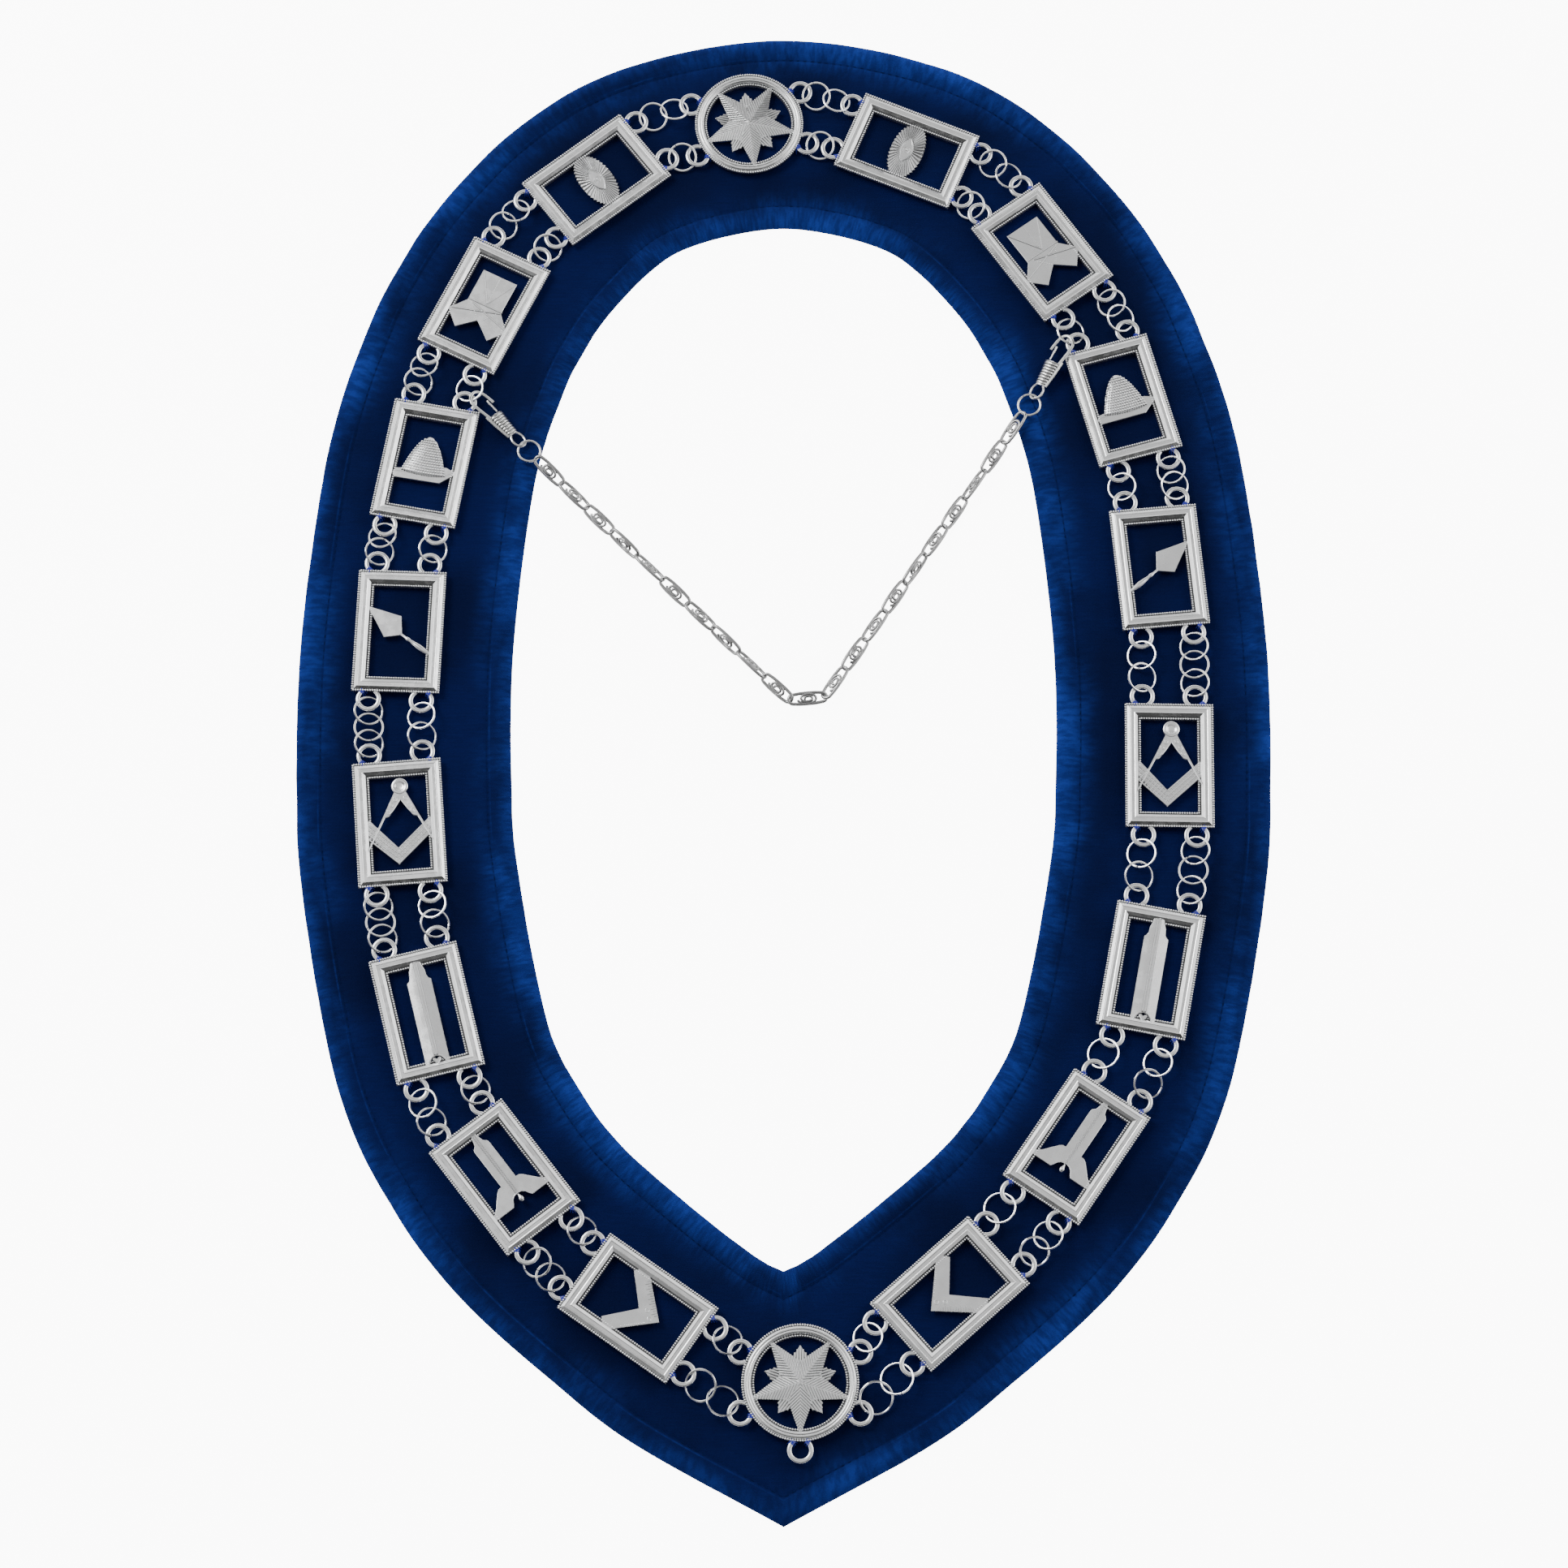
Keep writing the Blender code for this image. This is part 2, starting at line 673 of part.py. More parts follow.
def loop_height():
    """Height of the loops that keeps every jump ring clear of the velvet."""
    lowest = 0.0
    for _, start, end, count, roll_sign in strand_ends():
        for centre, along, across, radius in ring_frames(start, end, count, roll_sign, 0.0):
            lean = math.hypot(along.z, across.z)
            drop = radius * lean / math.sqrt(1 + lean ** 2) + RING_WIRE / 2
            lowest = min(lowest, centre.z - drop)
    return CLOTH_MIDDLE + REST_GAP - lowest


def build_plate(place, height, finish):
    """One plate of the chain, with its frame, its symbol and its loops as one body."""
    high = edge_height(height) - LIP_DROP - SYMBOL_SINK
    low = high - SYMBOL_THICKNESS
    if place.kind == "star":
        meshes = [round_frame(height), star_symbol(height)]
    else:
        unit = PLATE_WIDTH / 2 - FRAME_BAND + SYMBOL_OVERLAP
        rise = PLATE_LENGTH / 2 - FRAME_BAND + SYMBOL_OVERLAP
        meshes = [oblong_frame(height), *SYMBOLS[place.symbol](unit, rise, low, high)]
    for centre, out in loop_seats(place).values():
        meshes.append(loop_mesh(centre, out, height))
    if place.name == "star_bottom":
        out = Vector((0, -1, 0))
        meshes.append(loop_mesh(out * (STAR_OUTER / 2 + LOOP_REACH), out, height))
    plate = fuse(place.name, meshes, finish)
    plate.matrix_world = place_matrix(place)
    return plate


def build_strands(height, finish):
    """The jump rings, each strand between two plates as one body."""
    for name, start, end, count, roll_sign in strand_ends():
        meshes = [ring_mesh(centre, along, across, radius, RING_WIRE)
                  for centre, along, across, radius
                  in ring_frames(start, end, count, roll_sign, height)]
        fuse(name, meshes, finish)


def bow_crossings(ring_reach, radius):
    """Where the bow's two legs cross a jump ring, seen from above, in the hook's frame."""
    bow = [(x * BOW_LENGTH, y * BOW_LENGTH) for x, y in BOW_ROWS]
    crossings = []
    for (x0, y0), (x1, y1) in zip(bow, bow[1:]):
        near = math.hypot(x0 - ring_reach, y0) - radius
        far = math.hypot(x1 - ring_reach, y1) - radius
        if near * far < 0:
            share = near / (near - far)
            crossings.append((x0 + (x1 - x0) * share, y0 + (y1 - y0) * share))
    return crossings


def hook_slopes(back, back_level, gate, gate_level, barrel_level):
    """Roll and pitch of a hook from its level at both crossings and at its barrel's end."""
    back_run = back[0] + BARREL_LENGTH
    gate_run = gate[0] + BARREL_LENGTH
    back_rise = back_level - barrel_level
    gate_rise = gate_level - barrel_level
    area = back_run * gate[1] - gate_run * back[1]
    pitch = (back_rise * gate[1] - gate_rise * back[1]) / area
    roll = (back_run * gate_rise - gate_run * back_rise) / area
    return roll, pitch


def hook_frame(hook, height):
    """A snap hook's own frame: X towards its bow, Y to the left of it, Z up."""
    name, start, end, count, roll_sign = strand_ends()[2 * hook.strand + 1]
    centre, along, across, radius = ring_frames(start, end, count, roll_sign, height)[0]
    run = Vector((along.x, along.y, 0))
    aside = Vector((-run.y, run.x, 0))
    angle = math.radians(hook.direction)
    ahead = Vector((math.cos(angle), math.sin(angle), 0))
    gate_side = Vector((-ahead.y, ahead.x, 0)) * hook.hand
    ring_reach = BOW_LENGTH + BOW_HANG
    origin = Vector((centre.x, centre.y, 0)) - ahead * ring_reach
    clear = (RING_WIRE + BOW_THICKNESS) / 2 + BOW_CLEARANCE
    back, gate = bow_crossings(ring_reach, radius)
    levels = []
    for x, y in (back, gate):
        offset = ahead * (x - ring_reach) + gate_side * y
        levels.append(centre.z + across.z * offset.dot(aside))
    back_level = levels[0] + clear
    gate_level = levels[1] - clear
    barrel_level = CLOTH_HEM + REST_GAP + HOOK_LIFT
    roll, pitch = hook_slopes(back, back_level, gate, gate_level, barrel_level)
    axis_x = (ahead + Vector((0, 0, pitch))).normalized()
    axis_y = (gate_side + Vector((0, 0, roll))) * hook.hand
    axis_y = (axis_y - axis_x * axis_y.dot(axis_x)).normalized()
    axis_z = axis_x.cross(axis_y)
    origin.z = barrel_level + pitch * BARREL_LENGTH
    return Matrix.Translation(origin) @ Matrix((axis_x, axis_y, axis_z)).transposed().to_4x4()


def strip_frames(points):
    """Frames along a flat strip that lies in its own plane."""
    frames = []
    for index, point in enumerate(points):
        before = points[max(index - 1, 0)]
        after = points[min(index + 1, len(points) - 1)]
        run = (after - before).normalized()
        frames.append((point, Vector((-run.y, run.x, 0)), Vector((0, 0, 1))))
    return frames


def hook_meshes(hand):
    """Bow, barrel, eye and end ring of a snap hook in its own frame."""
    bow = [Vector((x * BOW_LENGTH, y * BOW_LENGTH * hand, 0)) for x, y in BOW_ROWS]
    meshes = [sweep(strip_frames(bow), flat_section(BOW_STRIP, BOW_THICKNESS), closed=False)]
    frames = []
    for rib in range(2 * BARREL_RIBS + 2):
        share = rib / (2 * BARREL_RIBS + 1)
        wide = BARREL_NARROW + (BARREL_WIDE - BARREL_NARROW) * share
        swell = BARREL_RIB if rib % 2 else 0.0
        point = Vector((BARREL_LENGTH * (share - 1), 0, 0))
        flat = (BARREL_THICKNESS - 2 * BARREL_RIB) / wide
        frames.append((point, Vector((0, 1, 0)) * (wide / 2 - BARREL_RIB + swell),
                       Vector((0, 0, 1)) * (flat * wide / 2 + swell)))
    meshes.append(sweep(frames, round_section(2.0, BARREL_SIDES), closed=False))
    eye_radius = (EYE_WIDTH - EYE_WIRE) / 2
    eye_half = (EYE_LENGTH - EYE_WIRE / 2 + EYE_SINK) / 2
    eye_centre = Vector((EYE_SINK - BARREL_LENGTH - eye_half, 0, 0))
    meshes.append(ring_mesh(eye_centre, Vector((1, 0, 0)), Vector((0, 1, 0)), eye_radius,
                            EYE_WIRE, eye_half / eye_radius))
    radius = (END_RING_OUTER - END_RING_WIRE) / 2
    centre, slope = end_ring_seat()
    meshes.append(ring_mesh(centre, Vector((1, 0, 0)), Vector((0, 1, slope * hand)), radius,
                            END_RING_WIRE))
    return meshes


def end_ring_seat():
    """Centre of the end ring in the hook's frame, and the slope of its plane."""
    radius = (END_RING_OUTER - END_RING_WIRE) / 2
    far_side = BARREL_LENGTH + EYE_LENGTH - EYE_WIRE
    slope = WELD_SHARE * EYE_WIRE / ((EYE_WIDTH - EYE_WIRE) / 2)
    return Vector((REST_GAP - far_side - radius + END_RING_WIRE / 2, 0, 0)), slope


def gate_points(hand):
    """The spring gate's hinge and its tip inside the bow, in the hook's frame."""
    tip_across = BOW_ROWS[-2].across * BOW_LENGTH
    inside = (tip_across - BOW_STRIP / 2 - GATE_CLEARANCE - GATE_STRIP / 2) * hand
    hinge = Vector((GATE_STRIP + GATE_CLEARANCE, inside, 0))
    tip = Vector((BOW_ROWS[-2].along * BOW_LENGTH, inside, 0))
    return hinge, tip


def build_hook(hook, height, finish):
    """A snap hook with its end ring, and its sprung gate."""
    frame = hook_frame(hook, height)
    body = fuse(f"snap_hook_{hook.name}", hook_meshes(hook.hand), finish)
    body.matrix_world = frame
    hinge, tip = gate_points(hook.hand)
    reach = tip - hinge
    points = [Vector((-GATE_STRIP / 2, 0, 0)), Vector((reach.x * GATE_MIDDLE, 0, 0)), reach]
    gate = sweep(strip_frames(points), flat_section(GATE_STRIP, BOW_THICKNESS), closed=False)
    gate = add_object(f"hook_gate_{hook.name}", gate, finish)
    gate.matrix_world = frame @ Matrix.Translation(hinge)
    return frame


def chain_route(frames):
    """The scroll chain's way from the left end ring over the floor to the right one."""
    radius = END_RING_OUTER / 2 + REST_GAP
    floor = CHAIN_THICKNESS / 2 + CHAIN_FLOOR_GAP
    turns = [Vector((x, y, floor)) for x, y in CHAIN_TURN]
    ends = []
    for frame, turn in zip(frames, turns):
        ring = frame @ end_ring_seat()[0]
        away = Vector((turn.x - ring.x, turn.y - ring.y, 0)).normalized()
        level = max(CLOTH_HEM + REST_GAP + CHAIN_THICKNESS / 2, ring.z)
        ends.append(Vector((ring.x, ring.y, level)) + away * radius)
    return [ends[0], *turns, ends[1]]


def build_chain(frames, finish):
    """The scroll chain as a plain tube along its route."""
    corners = chain_route(frames)
    floor = corners[1].z
    points = []
    for start, end in zip(corners, corners[1:]):
        count = max(1, round((end - start).length / CHAIN_STEP))
        for step in range(count):
            points.append(start.lerp(end, step / count))
    points.append(corners[-1])
    for point in points[2:-2]:
        point.z = floor
    curve = bpy.data.curves.new("scroll_chain", "CURVE")
    curve.dimensions = "3D"
    curve.bevel_depth = CHAIN_THICKNESS / 2
    curve.bevel_resolution = 1
    curve.use_fill_caps = True
    spline = curve.splines.new("POLY")
    spline.points.add(len(points) - 1)
    for knot, point in zip(spline.points, points):
        knot.co = (*point, 1.0)
    curve.materials.append(finish)
    chain = bpy.data.objects.new("scroll_chain", curve)
    bpy.context.collection.objects.link(chain)
    return chain


def clear_scene():
    """Remove the objects that a new file starts with."""
    for old in list(bpy.data.objects):
        bpy.data.objects.remove(old)


def main():
    """Build the collar."""
    clear_scene()
    velvet = material("blue_velvet", (0.010, 0.030, 0.190), 0.90, 0.0)
    silver = material("silver_plate", (0.80, 0.80, 0.80), 0.25, 1.0)
    height = loop_height()
    build_velvet(velvet)
    for place in PLACES:
        build_plate(place, height, silver)
    build_strands(height, silver)
    frames = {hook.name: build_hook(hook, height, silver) for hook in HOOKS}
    build_chain([frames["left"], frames["right"]], silver)


main()
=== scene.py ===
"""Looks of the masonic chain collar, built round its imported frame.

The collar lies on its velvet with the neck towards +Y, the point towards -Y and +Z up.
Every plate, ring, hook and link is modelled in detail where the frame holds its plain
solid, and takes that solid's place. Sizes are in metres; figures drawn on the plates are
given in millimetres round their plate's middle.
"""

import json
import logging
import math
import random
from collections.abc import Callable, Iterable, Sequence
from dataclasses import dataclass, field
from enum import Enum
from itertools import product
from typing import NamedTuple

import bmesh
import bpy
from mathutils import Matrix, Vector, noise


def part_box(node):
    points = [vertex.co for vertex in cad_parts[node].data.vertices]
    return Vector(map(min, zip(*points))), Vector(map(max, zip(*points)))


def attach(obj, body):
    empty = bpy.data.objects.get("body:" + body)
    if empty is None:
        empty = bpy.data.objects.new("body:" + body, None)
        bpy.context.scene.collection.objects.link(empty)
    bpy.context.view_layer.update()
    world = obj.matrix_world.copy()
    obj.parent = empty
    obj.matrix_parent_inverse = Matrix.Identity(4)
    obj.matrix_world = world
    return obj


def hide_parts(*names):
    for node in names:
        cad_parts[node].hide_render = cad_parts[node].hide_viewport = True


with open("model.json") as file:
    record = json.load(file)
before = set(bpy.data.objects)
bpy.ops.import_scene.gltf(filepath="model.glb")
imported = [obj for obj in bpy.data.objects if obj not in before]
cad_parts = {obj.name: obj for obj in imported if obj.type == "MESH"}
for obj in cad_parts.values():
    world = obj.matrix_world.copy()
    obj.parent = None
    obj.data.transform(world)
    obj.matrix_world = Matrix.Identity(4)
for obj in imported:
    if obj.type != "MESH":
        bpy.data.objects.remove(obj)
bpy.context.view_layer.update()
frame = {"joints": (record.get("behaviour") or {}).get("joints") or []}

MM = 0.001
# the mesh attribute of painted shade: how deep in a recess each corner lies
PAINTED_SHADE_DEPTH = "recess"
CLOTH = "cloth_run"
RIGHT = Vector((1.0, 0.0, 0.0))
AHEAD = Vector((0.0, 1.0, 0.0))
UP = Vector((0.0, 0.0, 1.0))
Spot = tuple[float, float]
Triple = tuple[float, float, float]
Colour = Triple
Piece = bpy.types.Object
Node = bpy.types.Node
Socket = bpy.types.NodeSocket
Tree = bpy.types.NodeTree
log = logging.getLogger("collar")


class Slot(Enum):
    """The record's material slots."""

    VELVET = "velvet"
    SILVER = "silver"


class NodeWork:
    """A node tree that is filled one node at a time."""

    def __init__(self, tree: Tree) -> None:
        """Take the tree to fill."""
        self.tree = tree

    def feed(self, node: Node, inputs: dict) -> None:
        """Set a node's inputs, by name or number, to plain values or to other nodes' sockets."""
        for key, value in inputs.items():
            if isinstance(value, Socket):
                self.tree.links.new(value, node.inputs[key])
            else:
                node.inputs[key].default_value = value

    def add(self, kind: str, inputs: dict | None = None, **settings: object) -> Node:
        """Add a node.

        Args:
            kind: the node's type.
            inputs: plain values or sockets for its inputs, by name or number.
            settings: the node's own properties.

        Returns:
            The new node.
        """
        node = self.tree.nodes.new(kind)
        for name, value in settings.items():
            setattr(node, name, value)
        self.feed(node, inputs or {})
        return node

    def math(self, operation: str, first: object, second: object = 0.0) -> Socket:
        """Work out a value from two."""
        return self.add("ShaderNodeMath", {0: first, 1: second}, operation=operation).outputs[0]

    def blend(self, share: object, first: object, second: object) -> Socket:
        """Mix two colours by a share."""
        return self.add("ShaderNodeMix", {0: share, 6: first, 7: second}, data_type="RGBA").outputs[2]

    def remap(self, value: object, low: object, high: object, to_low: object = 0.0,
              to_high: object = 1.0) -> Socket:
        """Stretch a value's range to another, with smooth ends."""
        return self.add("ShaderNodeMapRange", {0: value, 1: low, 2: high, 3: to_low, 4: to_high},
                        interpolation_type="SMOOTHSTEP").outputs[0]

    def cloud(self, place: object, scale: object, detail: float = 2.0) -> Socket:
        """A cloudy value between 0 and 1."""
        return self.add("ShaderNodeTexNoise",
                        {"Vector": place, "Scale": scale, "Detail": detail}).outputs[0]

    def stretched(self, place: object, scale: tuple) -> Socket:
        """Coordinates scaled by a different amount along each axis."""
        return self.add("ShaderNodeMapping", {"Vector": place, "Scale": scale}).outputs[0]

    def effect(self, tree: Tree, **inputs: object) -> Socket:
        """Use an effect in a material, with the material's own values."""
        return self.add("ShaderNodeGroup", inputs, node_tree=tree).outputs[0]

    def near(self, value: object, line: float, width: float, on: float, off: float) -> Socket:
        """Lead a value from one level on a line to another beside it."""
        away = self.math("ABSOLUTE", self.math("SUBTRACT", value, line))
        return self.remap(away, 0.0, width, on, off)


class Effects:
    """Shader effects that more than one finish uses, each a node group that is built once."""

    SHAPES = {float: "NodeSocketFloat", tuple: "NodeSocketColor", Vector: "NodeSocketVector"}

    @classmethod
    def group(cls, name: str, inputs: dict[str, object], output: str, kind: type,
              fill: Callable[[NodeWork, object], Socket]) -> Tree:
        """Build an effect, or find it if it is there.

        Args:
            name: the effect's name.
            inputs: its named inputs, each with its usual value.
            output: the name of what it gives.
            kind: the Python type of what it gives.
            fill: adds its nodes and returns the socket that it gives.

        Returns:
            The effect's node group.
        """
        tree = bpy.data.node_groups.get(name)
        if tree:
            return tree
        tree = bpy.data.node_groups.new(name, "ShaderNodeTree")
        for label, value in inputs.items():
            socket = tree.interface.new_socket(label, in_out="INPUT",
                                               socket_type=cls.SHAPES[type(value)])
            if not isinstance(value, Vector):
                socket.default_value = value
        tree.interface.new_socket(output, in_out="OUTPUT", socket_type=cls.SHAPES[kind])
        work = NodeWork(tree)
        given = work.add("NodeGroupInput").outputs
        work.add("NodeGroupOutput", {0: fill(work, given)})
        return tree

    @classmethod
    def mottle(cls) -> Tree:
        """Soft patches that move a value between a low and a high one."""
        return cls.group("soft_mottle", {"Place": Vector(), "Scale": 60.0, "Low": 0.0, "High": 1.0},
            "Value", float,
            lambda work, given: work.remap(work.cloud(given["Place"], given["Scale"], 3.0),
                                           0.36, 0.64, given["Low"], given["High"]))

    @classmethod
    def tarnish(cls) -> Tree:
        """A bright colour that dulls in faint clouds and finer specks."""
        def fill(work: NodeWork, given: object) -> Socket:
            """Mix the two colours by clouds and specks."""
            clouds = work.remap(work.cloud(given["Place"], given["Scale"], 4.0), 0.45, 0.75)
            finer = work.math("MULTIPLY", given["Scale"], 9.0)
            specks = work.remap(work.cloud(given["Place"], finer), 0.55, 0.80)
            worn = work.math("MULTIPLY", work.math("MAXIMUM", clouds, specks), given["Amount"])
            return work.blend(worn, given["Bright"], given["Dull"])
        return cls.group("faint_tarnish",
                         {"Place": Vector(), "Scale": 90.0, "Bright": (1.0, 1.0, 1.0, 1.0),
                          "Dull": (0.5, 0.5, 0.5, 1.0), "Amount": 0.4}, "Colour", tuple, fill)

    @classmethod
    def grain(cls) -> Tree:
        """Fine unevenness at two scales, as a height."""
        def fill(work: NodeWork, given: object) -> Socket:
            """Add a wider cloud to a fine one."""
            wider = work.math("MULTIPLY", given["Scale"], 0.18)
            coarse = work.math("MULTIPLY", work.cloud(given["Place"], wider), given["Coarse"])
            return work.math("ADD", work.cloud(given["Place"], given["Scale"]), coarse)
        return cls.group("fine_grain", {"Place": Vector(), "Scale": 900.0, "Coarse": 0.35},
                         "Height", float, fill)


@dataclass(frozen=True)
class Finish:
    """What every finish has: its name and the way its material is made once."""

    name: str

    def material(self) -> bpy.types.Material:
        """Give the finish's material, made at its first use."""
        made = bpy.data.materials.get(self.name)
        if made is None:
            made = bpy.data.materials.new(self.name)
            made.use_nodes = True
            self.fill(NodeWork(made.node_tree), made.node_tree.nodes["Principled BSDF"])
        return made

    def fill(self, work: NodeWork, shader: Node) -> None:
        """Add the finish's nodes round the shader."""
        raise NotImplementedError

    def bump(self, work: NodeWork, height: object, rise: float) -> Socket:
        """Turn a height into a surface direction."""
        return work.add("ShaderNodeBump", {"Height": height, "Distance": rise}).outputs[0]


@dataclass(frozen=True)
class SilverFinish(Finish):
    """Bright silver plate over stamped brass: clean, with a faint haze, fine grain and painted shade in
    its recesses.
    """

    bright: Colour = (0.90, 0.905, 0.91)
    dull: Colour = (0.62, 0.62, 0.62)
    haze: float = 0.25
    # painted shade: the near-black colour laid in recesses, creases and between beads
    painted_shade_colour: Colour = (0.035, 0.035, 0.04)
    smooth: float = 0.20
    rough: float = 0.30
    grain_rise: float = 0.006 * MM

    def fill(self, work: NodeWork, shader: Node) -> None:
        """Vary colour, gloss and surface over the metal, and paint shade into its recesses."""
        place = work.add("ShaderNodeTexCoord").outputs["Object"]
        plate = work.effect(Effects.tarnish(), Place=place, Scale=140.0, Bright=(*self.bright, 1.0),
                            Dull=(*self.dull, 1.0), Amount=self.haze)
        # painted shade: how deep each corner lies in a recess, from 0 to 1
        recess = work.add("ShaderNodeAttribute", attribute_name=PAINTED_SHADE_DEPTH).outputs["Fac"]
        gloss = work.effect(Effects.mottle(), Place=place, Scale=260.0, Low=self.smooth, High=self.rough)
        height = work.effect(Effects.grain(), Place=place, Scale=1500.0, Coarse=0.8)
        work.feed(shader, {"Base Color": work.blend(recess, plate, (*self.painted_shade_colour, 1.0)),
                           "Roughness": work.math("MAXIMUM", gloss, recess), "Metallic": 1.0,
                           "Normal": self.bump(work, height, self.grain_rise)})


@dataclass(frozen=True)
class VelvetFinish(Finish):
    """Deep blue velvet with painted sheen in its colour: dark in the middle, painted bright along its
    hems.
    """

    deep: Colour = (0.0009, 0.0026, 0.023)
    royal: Colour = (0.0026, 0.0095, 0.088)
    # painted sheen: the bright blue laid on the hems and along the crease
    bright: Colour = (0.014, 0.046, 0.320)
    seam_share: float = 0.773
    # painted highlight: where a light crease runs beside the seam
    fold_highlight_share: float = 0.800
    seam_width: float = 0.016
    pile_rise: float = 0.22 * MM

    def fill(self, work: NodeWork, shader: Node) -> None:
        """Paint the nap's sheen in patches and hem streaks, paint shade along the seam, and raise the
        pile and its weave.
        """
        place = work.add("ShaderNodeTexCoord").outputs["Object"]
        run = work.add("ShaderNodeAttribute", attribute_name=CLOTH).outputs["Vector"]
        share = work.math("ABSOLUTE", work.add("ShaderNodeSeparateXYZ", {0: run}).outputs[2])
        # painted sheen: lighter patches of nap, where the pile leans
        patches = work.effect(Effects.mottle(), Place=place, Scale=16.0, Low=0.14, High=0.50)
        weave = work.cloud(work.stretched(place, (90.0, 1400.0, 1.0)), 1.0)
        ground = work.math("MULTIPLY", patches, work.remap(weave, 0.30, 0.70, 0.84, 1.16))
        # painted sheen: a bright band along the hems, in streaks and patches
        hem_sheen_drift = work.remap(work.cloud(work.stretched(run, (14.0, 14.0, 1.3)), 1.0),
                           0.38, 0.62, 0.10, 1.0)
        broad_hem_sheen = work.math("MULTIPLY", work.remap(share, 0.52, 1.06), hem_sheen_drift)
        hem = work.math("MAXIMUM", broad_hem_sheen, work.remap(share, 0.78, 1.02, 0.0, 0.56))
        brushed_sheen = work.remap(work.cloud(work.stretched(run, (70.0, 70.0, 2.8)), 1.0, 4.0),
                             0.36, 0.64, 0.50, 1.0)
        sheen_streaks = work.remap(work.cloud(work.stretched(run, (560.0, 560.0, 8.0)), 1.0, 3.0),
                             0.34, 0.66, 0.45, 1.0)
        # painted highlight along the crease beside the seam
        fold_highlight = work.near(share, self.fold_highlight_share, self.seam_width, 0.30, 0.0)
        # painted sheen: the hem band and the crease highlight, brushed and streaked
        lit = work.math("MULTIPLY", work.math("MULTIPLY", work.math("MAXIMUM", hem, fold_highlight), brushed_sheen),
                        sheen_streaks)
        # painted shade: less painted sheen in the seam's groove
        seam = work.near(share, self.seam_share, self.seam_width, 0.55, 1.0)
        # the ground colour, lighter under the painted sheen patches and hem band, over the weave
        body = work.blend(work.math("MAXIMUM", ground, hem), (*self.deep, 1.0), (*self.royal, 1.0))
        # the cloth's colour with the painted sheen laid over it
        nap = work.blend(work.math("MULTIPLY", lit, seam), body, (*self.bright, 1.0))
        pile = work.effect(Effects.grain(), Place=place, Scale=2600.0, Coarse=0.6)
        work.feed(shader, {"Base Color": nap, "Roughness": 0.95, "Specular IOR Level": 0.10,
                           "Sheen Weight": 0.40, "Sheen Roughness": 0.36,
                           "Sheen Tint": (0.04, 0.12, 0.85, 1.0),
                           "Normal": self.bump(work, pile, self.pile_rise)})


@dataclass(frozen=True)
class ThreadFinish(Finish):
    """Blue sewing thread with a slight shine along its twist."""

    dark: Colour = (0.008, 0.010, 0.13)
    light: Colour = (0.020, 0.030, 0.42)
    shine: float = 0.5

    def fill(self, work: NodeWork, shader: Node) -> None:
        """Vary the thread's colour and raise its fibres."""
        place = work.add("ShaderNodeTexCoord").outputs["Object"]
        colour = work.effect(Effects.tarnish(), Place=place, Scale=500.0, Bright=(*self.light, 1.0),
                             Dull=(*self.dark, 1.0), Amount=0.9)
        height = work.effect(Effects.grain(), Place=place, Scale=6000.0)
        work.feed(shader, {"Base Color": colour, "Roughness": 0.6, "Specular IOR Level": self.shine,
                           "Normal": self.bump(work, height, 0.05 * MM)})


@dataclass(frozen=True)
class FloorFinish(Finish):
    """A plain pale board."""

    pale: Colour = (0.90, 0.90, 0.90)
    glow: float = 0.55
    seen_glow: float = 9.0

    def fill(self, work: NodeWork, shader: Node) -> None:
        """Keep the board matt, and lit through from below as on a light table."""
        place = work.add("ShaderNodeTexCoord").outputs["Object"]
        gloss = work.effect(Effects.mottle(), Place=place, Low=0.85, High=0.95)
        seen = work.add("ShaderNodeLightPath").outputs["Is Camera Ray"]
        glow = work.math("ADD", work.math("MULTIPLY", seen, self.seen_glow), self.glow)
        work.feed(shader, {"Base Color": (*self.pale, 1.0), "Roughness": gloss,
                           "Emission Color": (1.0, 1.0, 1.0, 1.0), "Emission Strength": glow})


PLATE_SILVER = SilverFinish("plate_silver", smooth=0.22, rough=0.30)
WIRE_SILVER = SilverFinish("wire_silver", bright=(0.96, 0.96, 0.96), smooth=0.16, rough=0.26, haze=0.15)
# painted shade: a darker copy of the silver, so that the chain reads grey against the bright board
CHAIN_SILVER = SilverFinish("chain_silver", bright=(0.42, 0.42, 0.42), dull=(0.28, 0.28, 0.28),
                            smooth=0.18, rough=0.28)
HOOK_SILVER = SilverFinish("hook_silver", bright=(0.74, 0.74, 0.73), smooth=0.18, rough=0.30)
VELVET = VelvetFinish("royal_velvet")
THREAD = ThreadFinish("blue_thread")
HEM_THREAD = ThreadFinish("hem_thread", dark=(0.0006, 0.003, 0.022), light=(0.001, 0.007, 0.055),
                          shine=0.05)


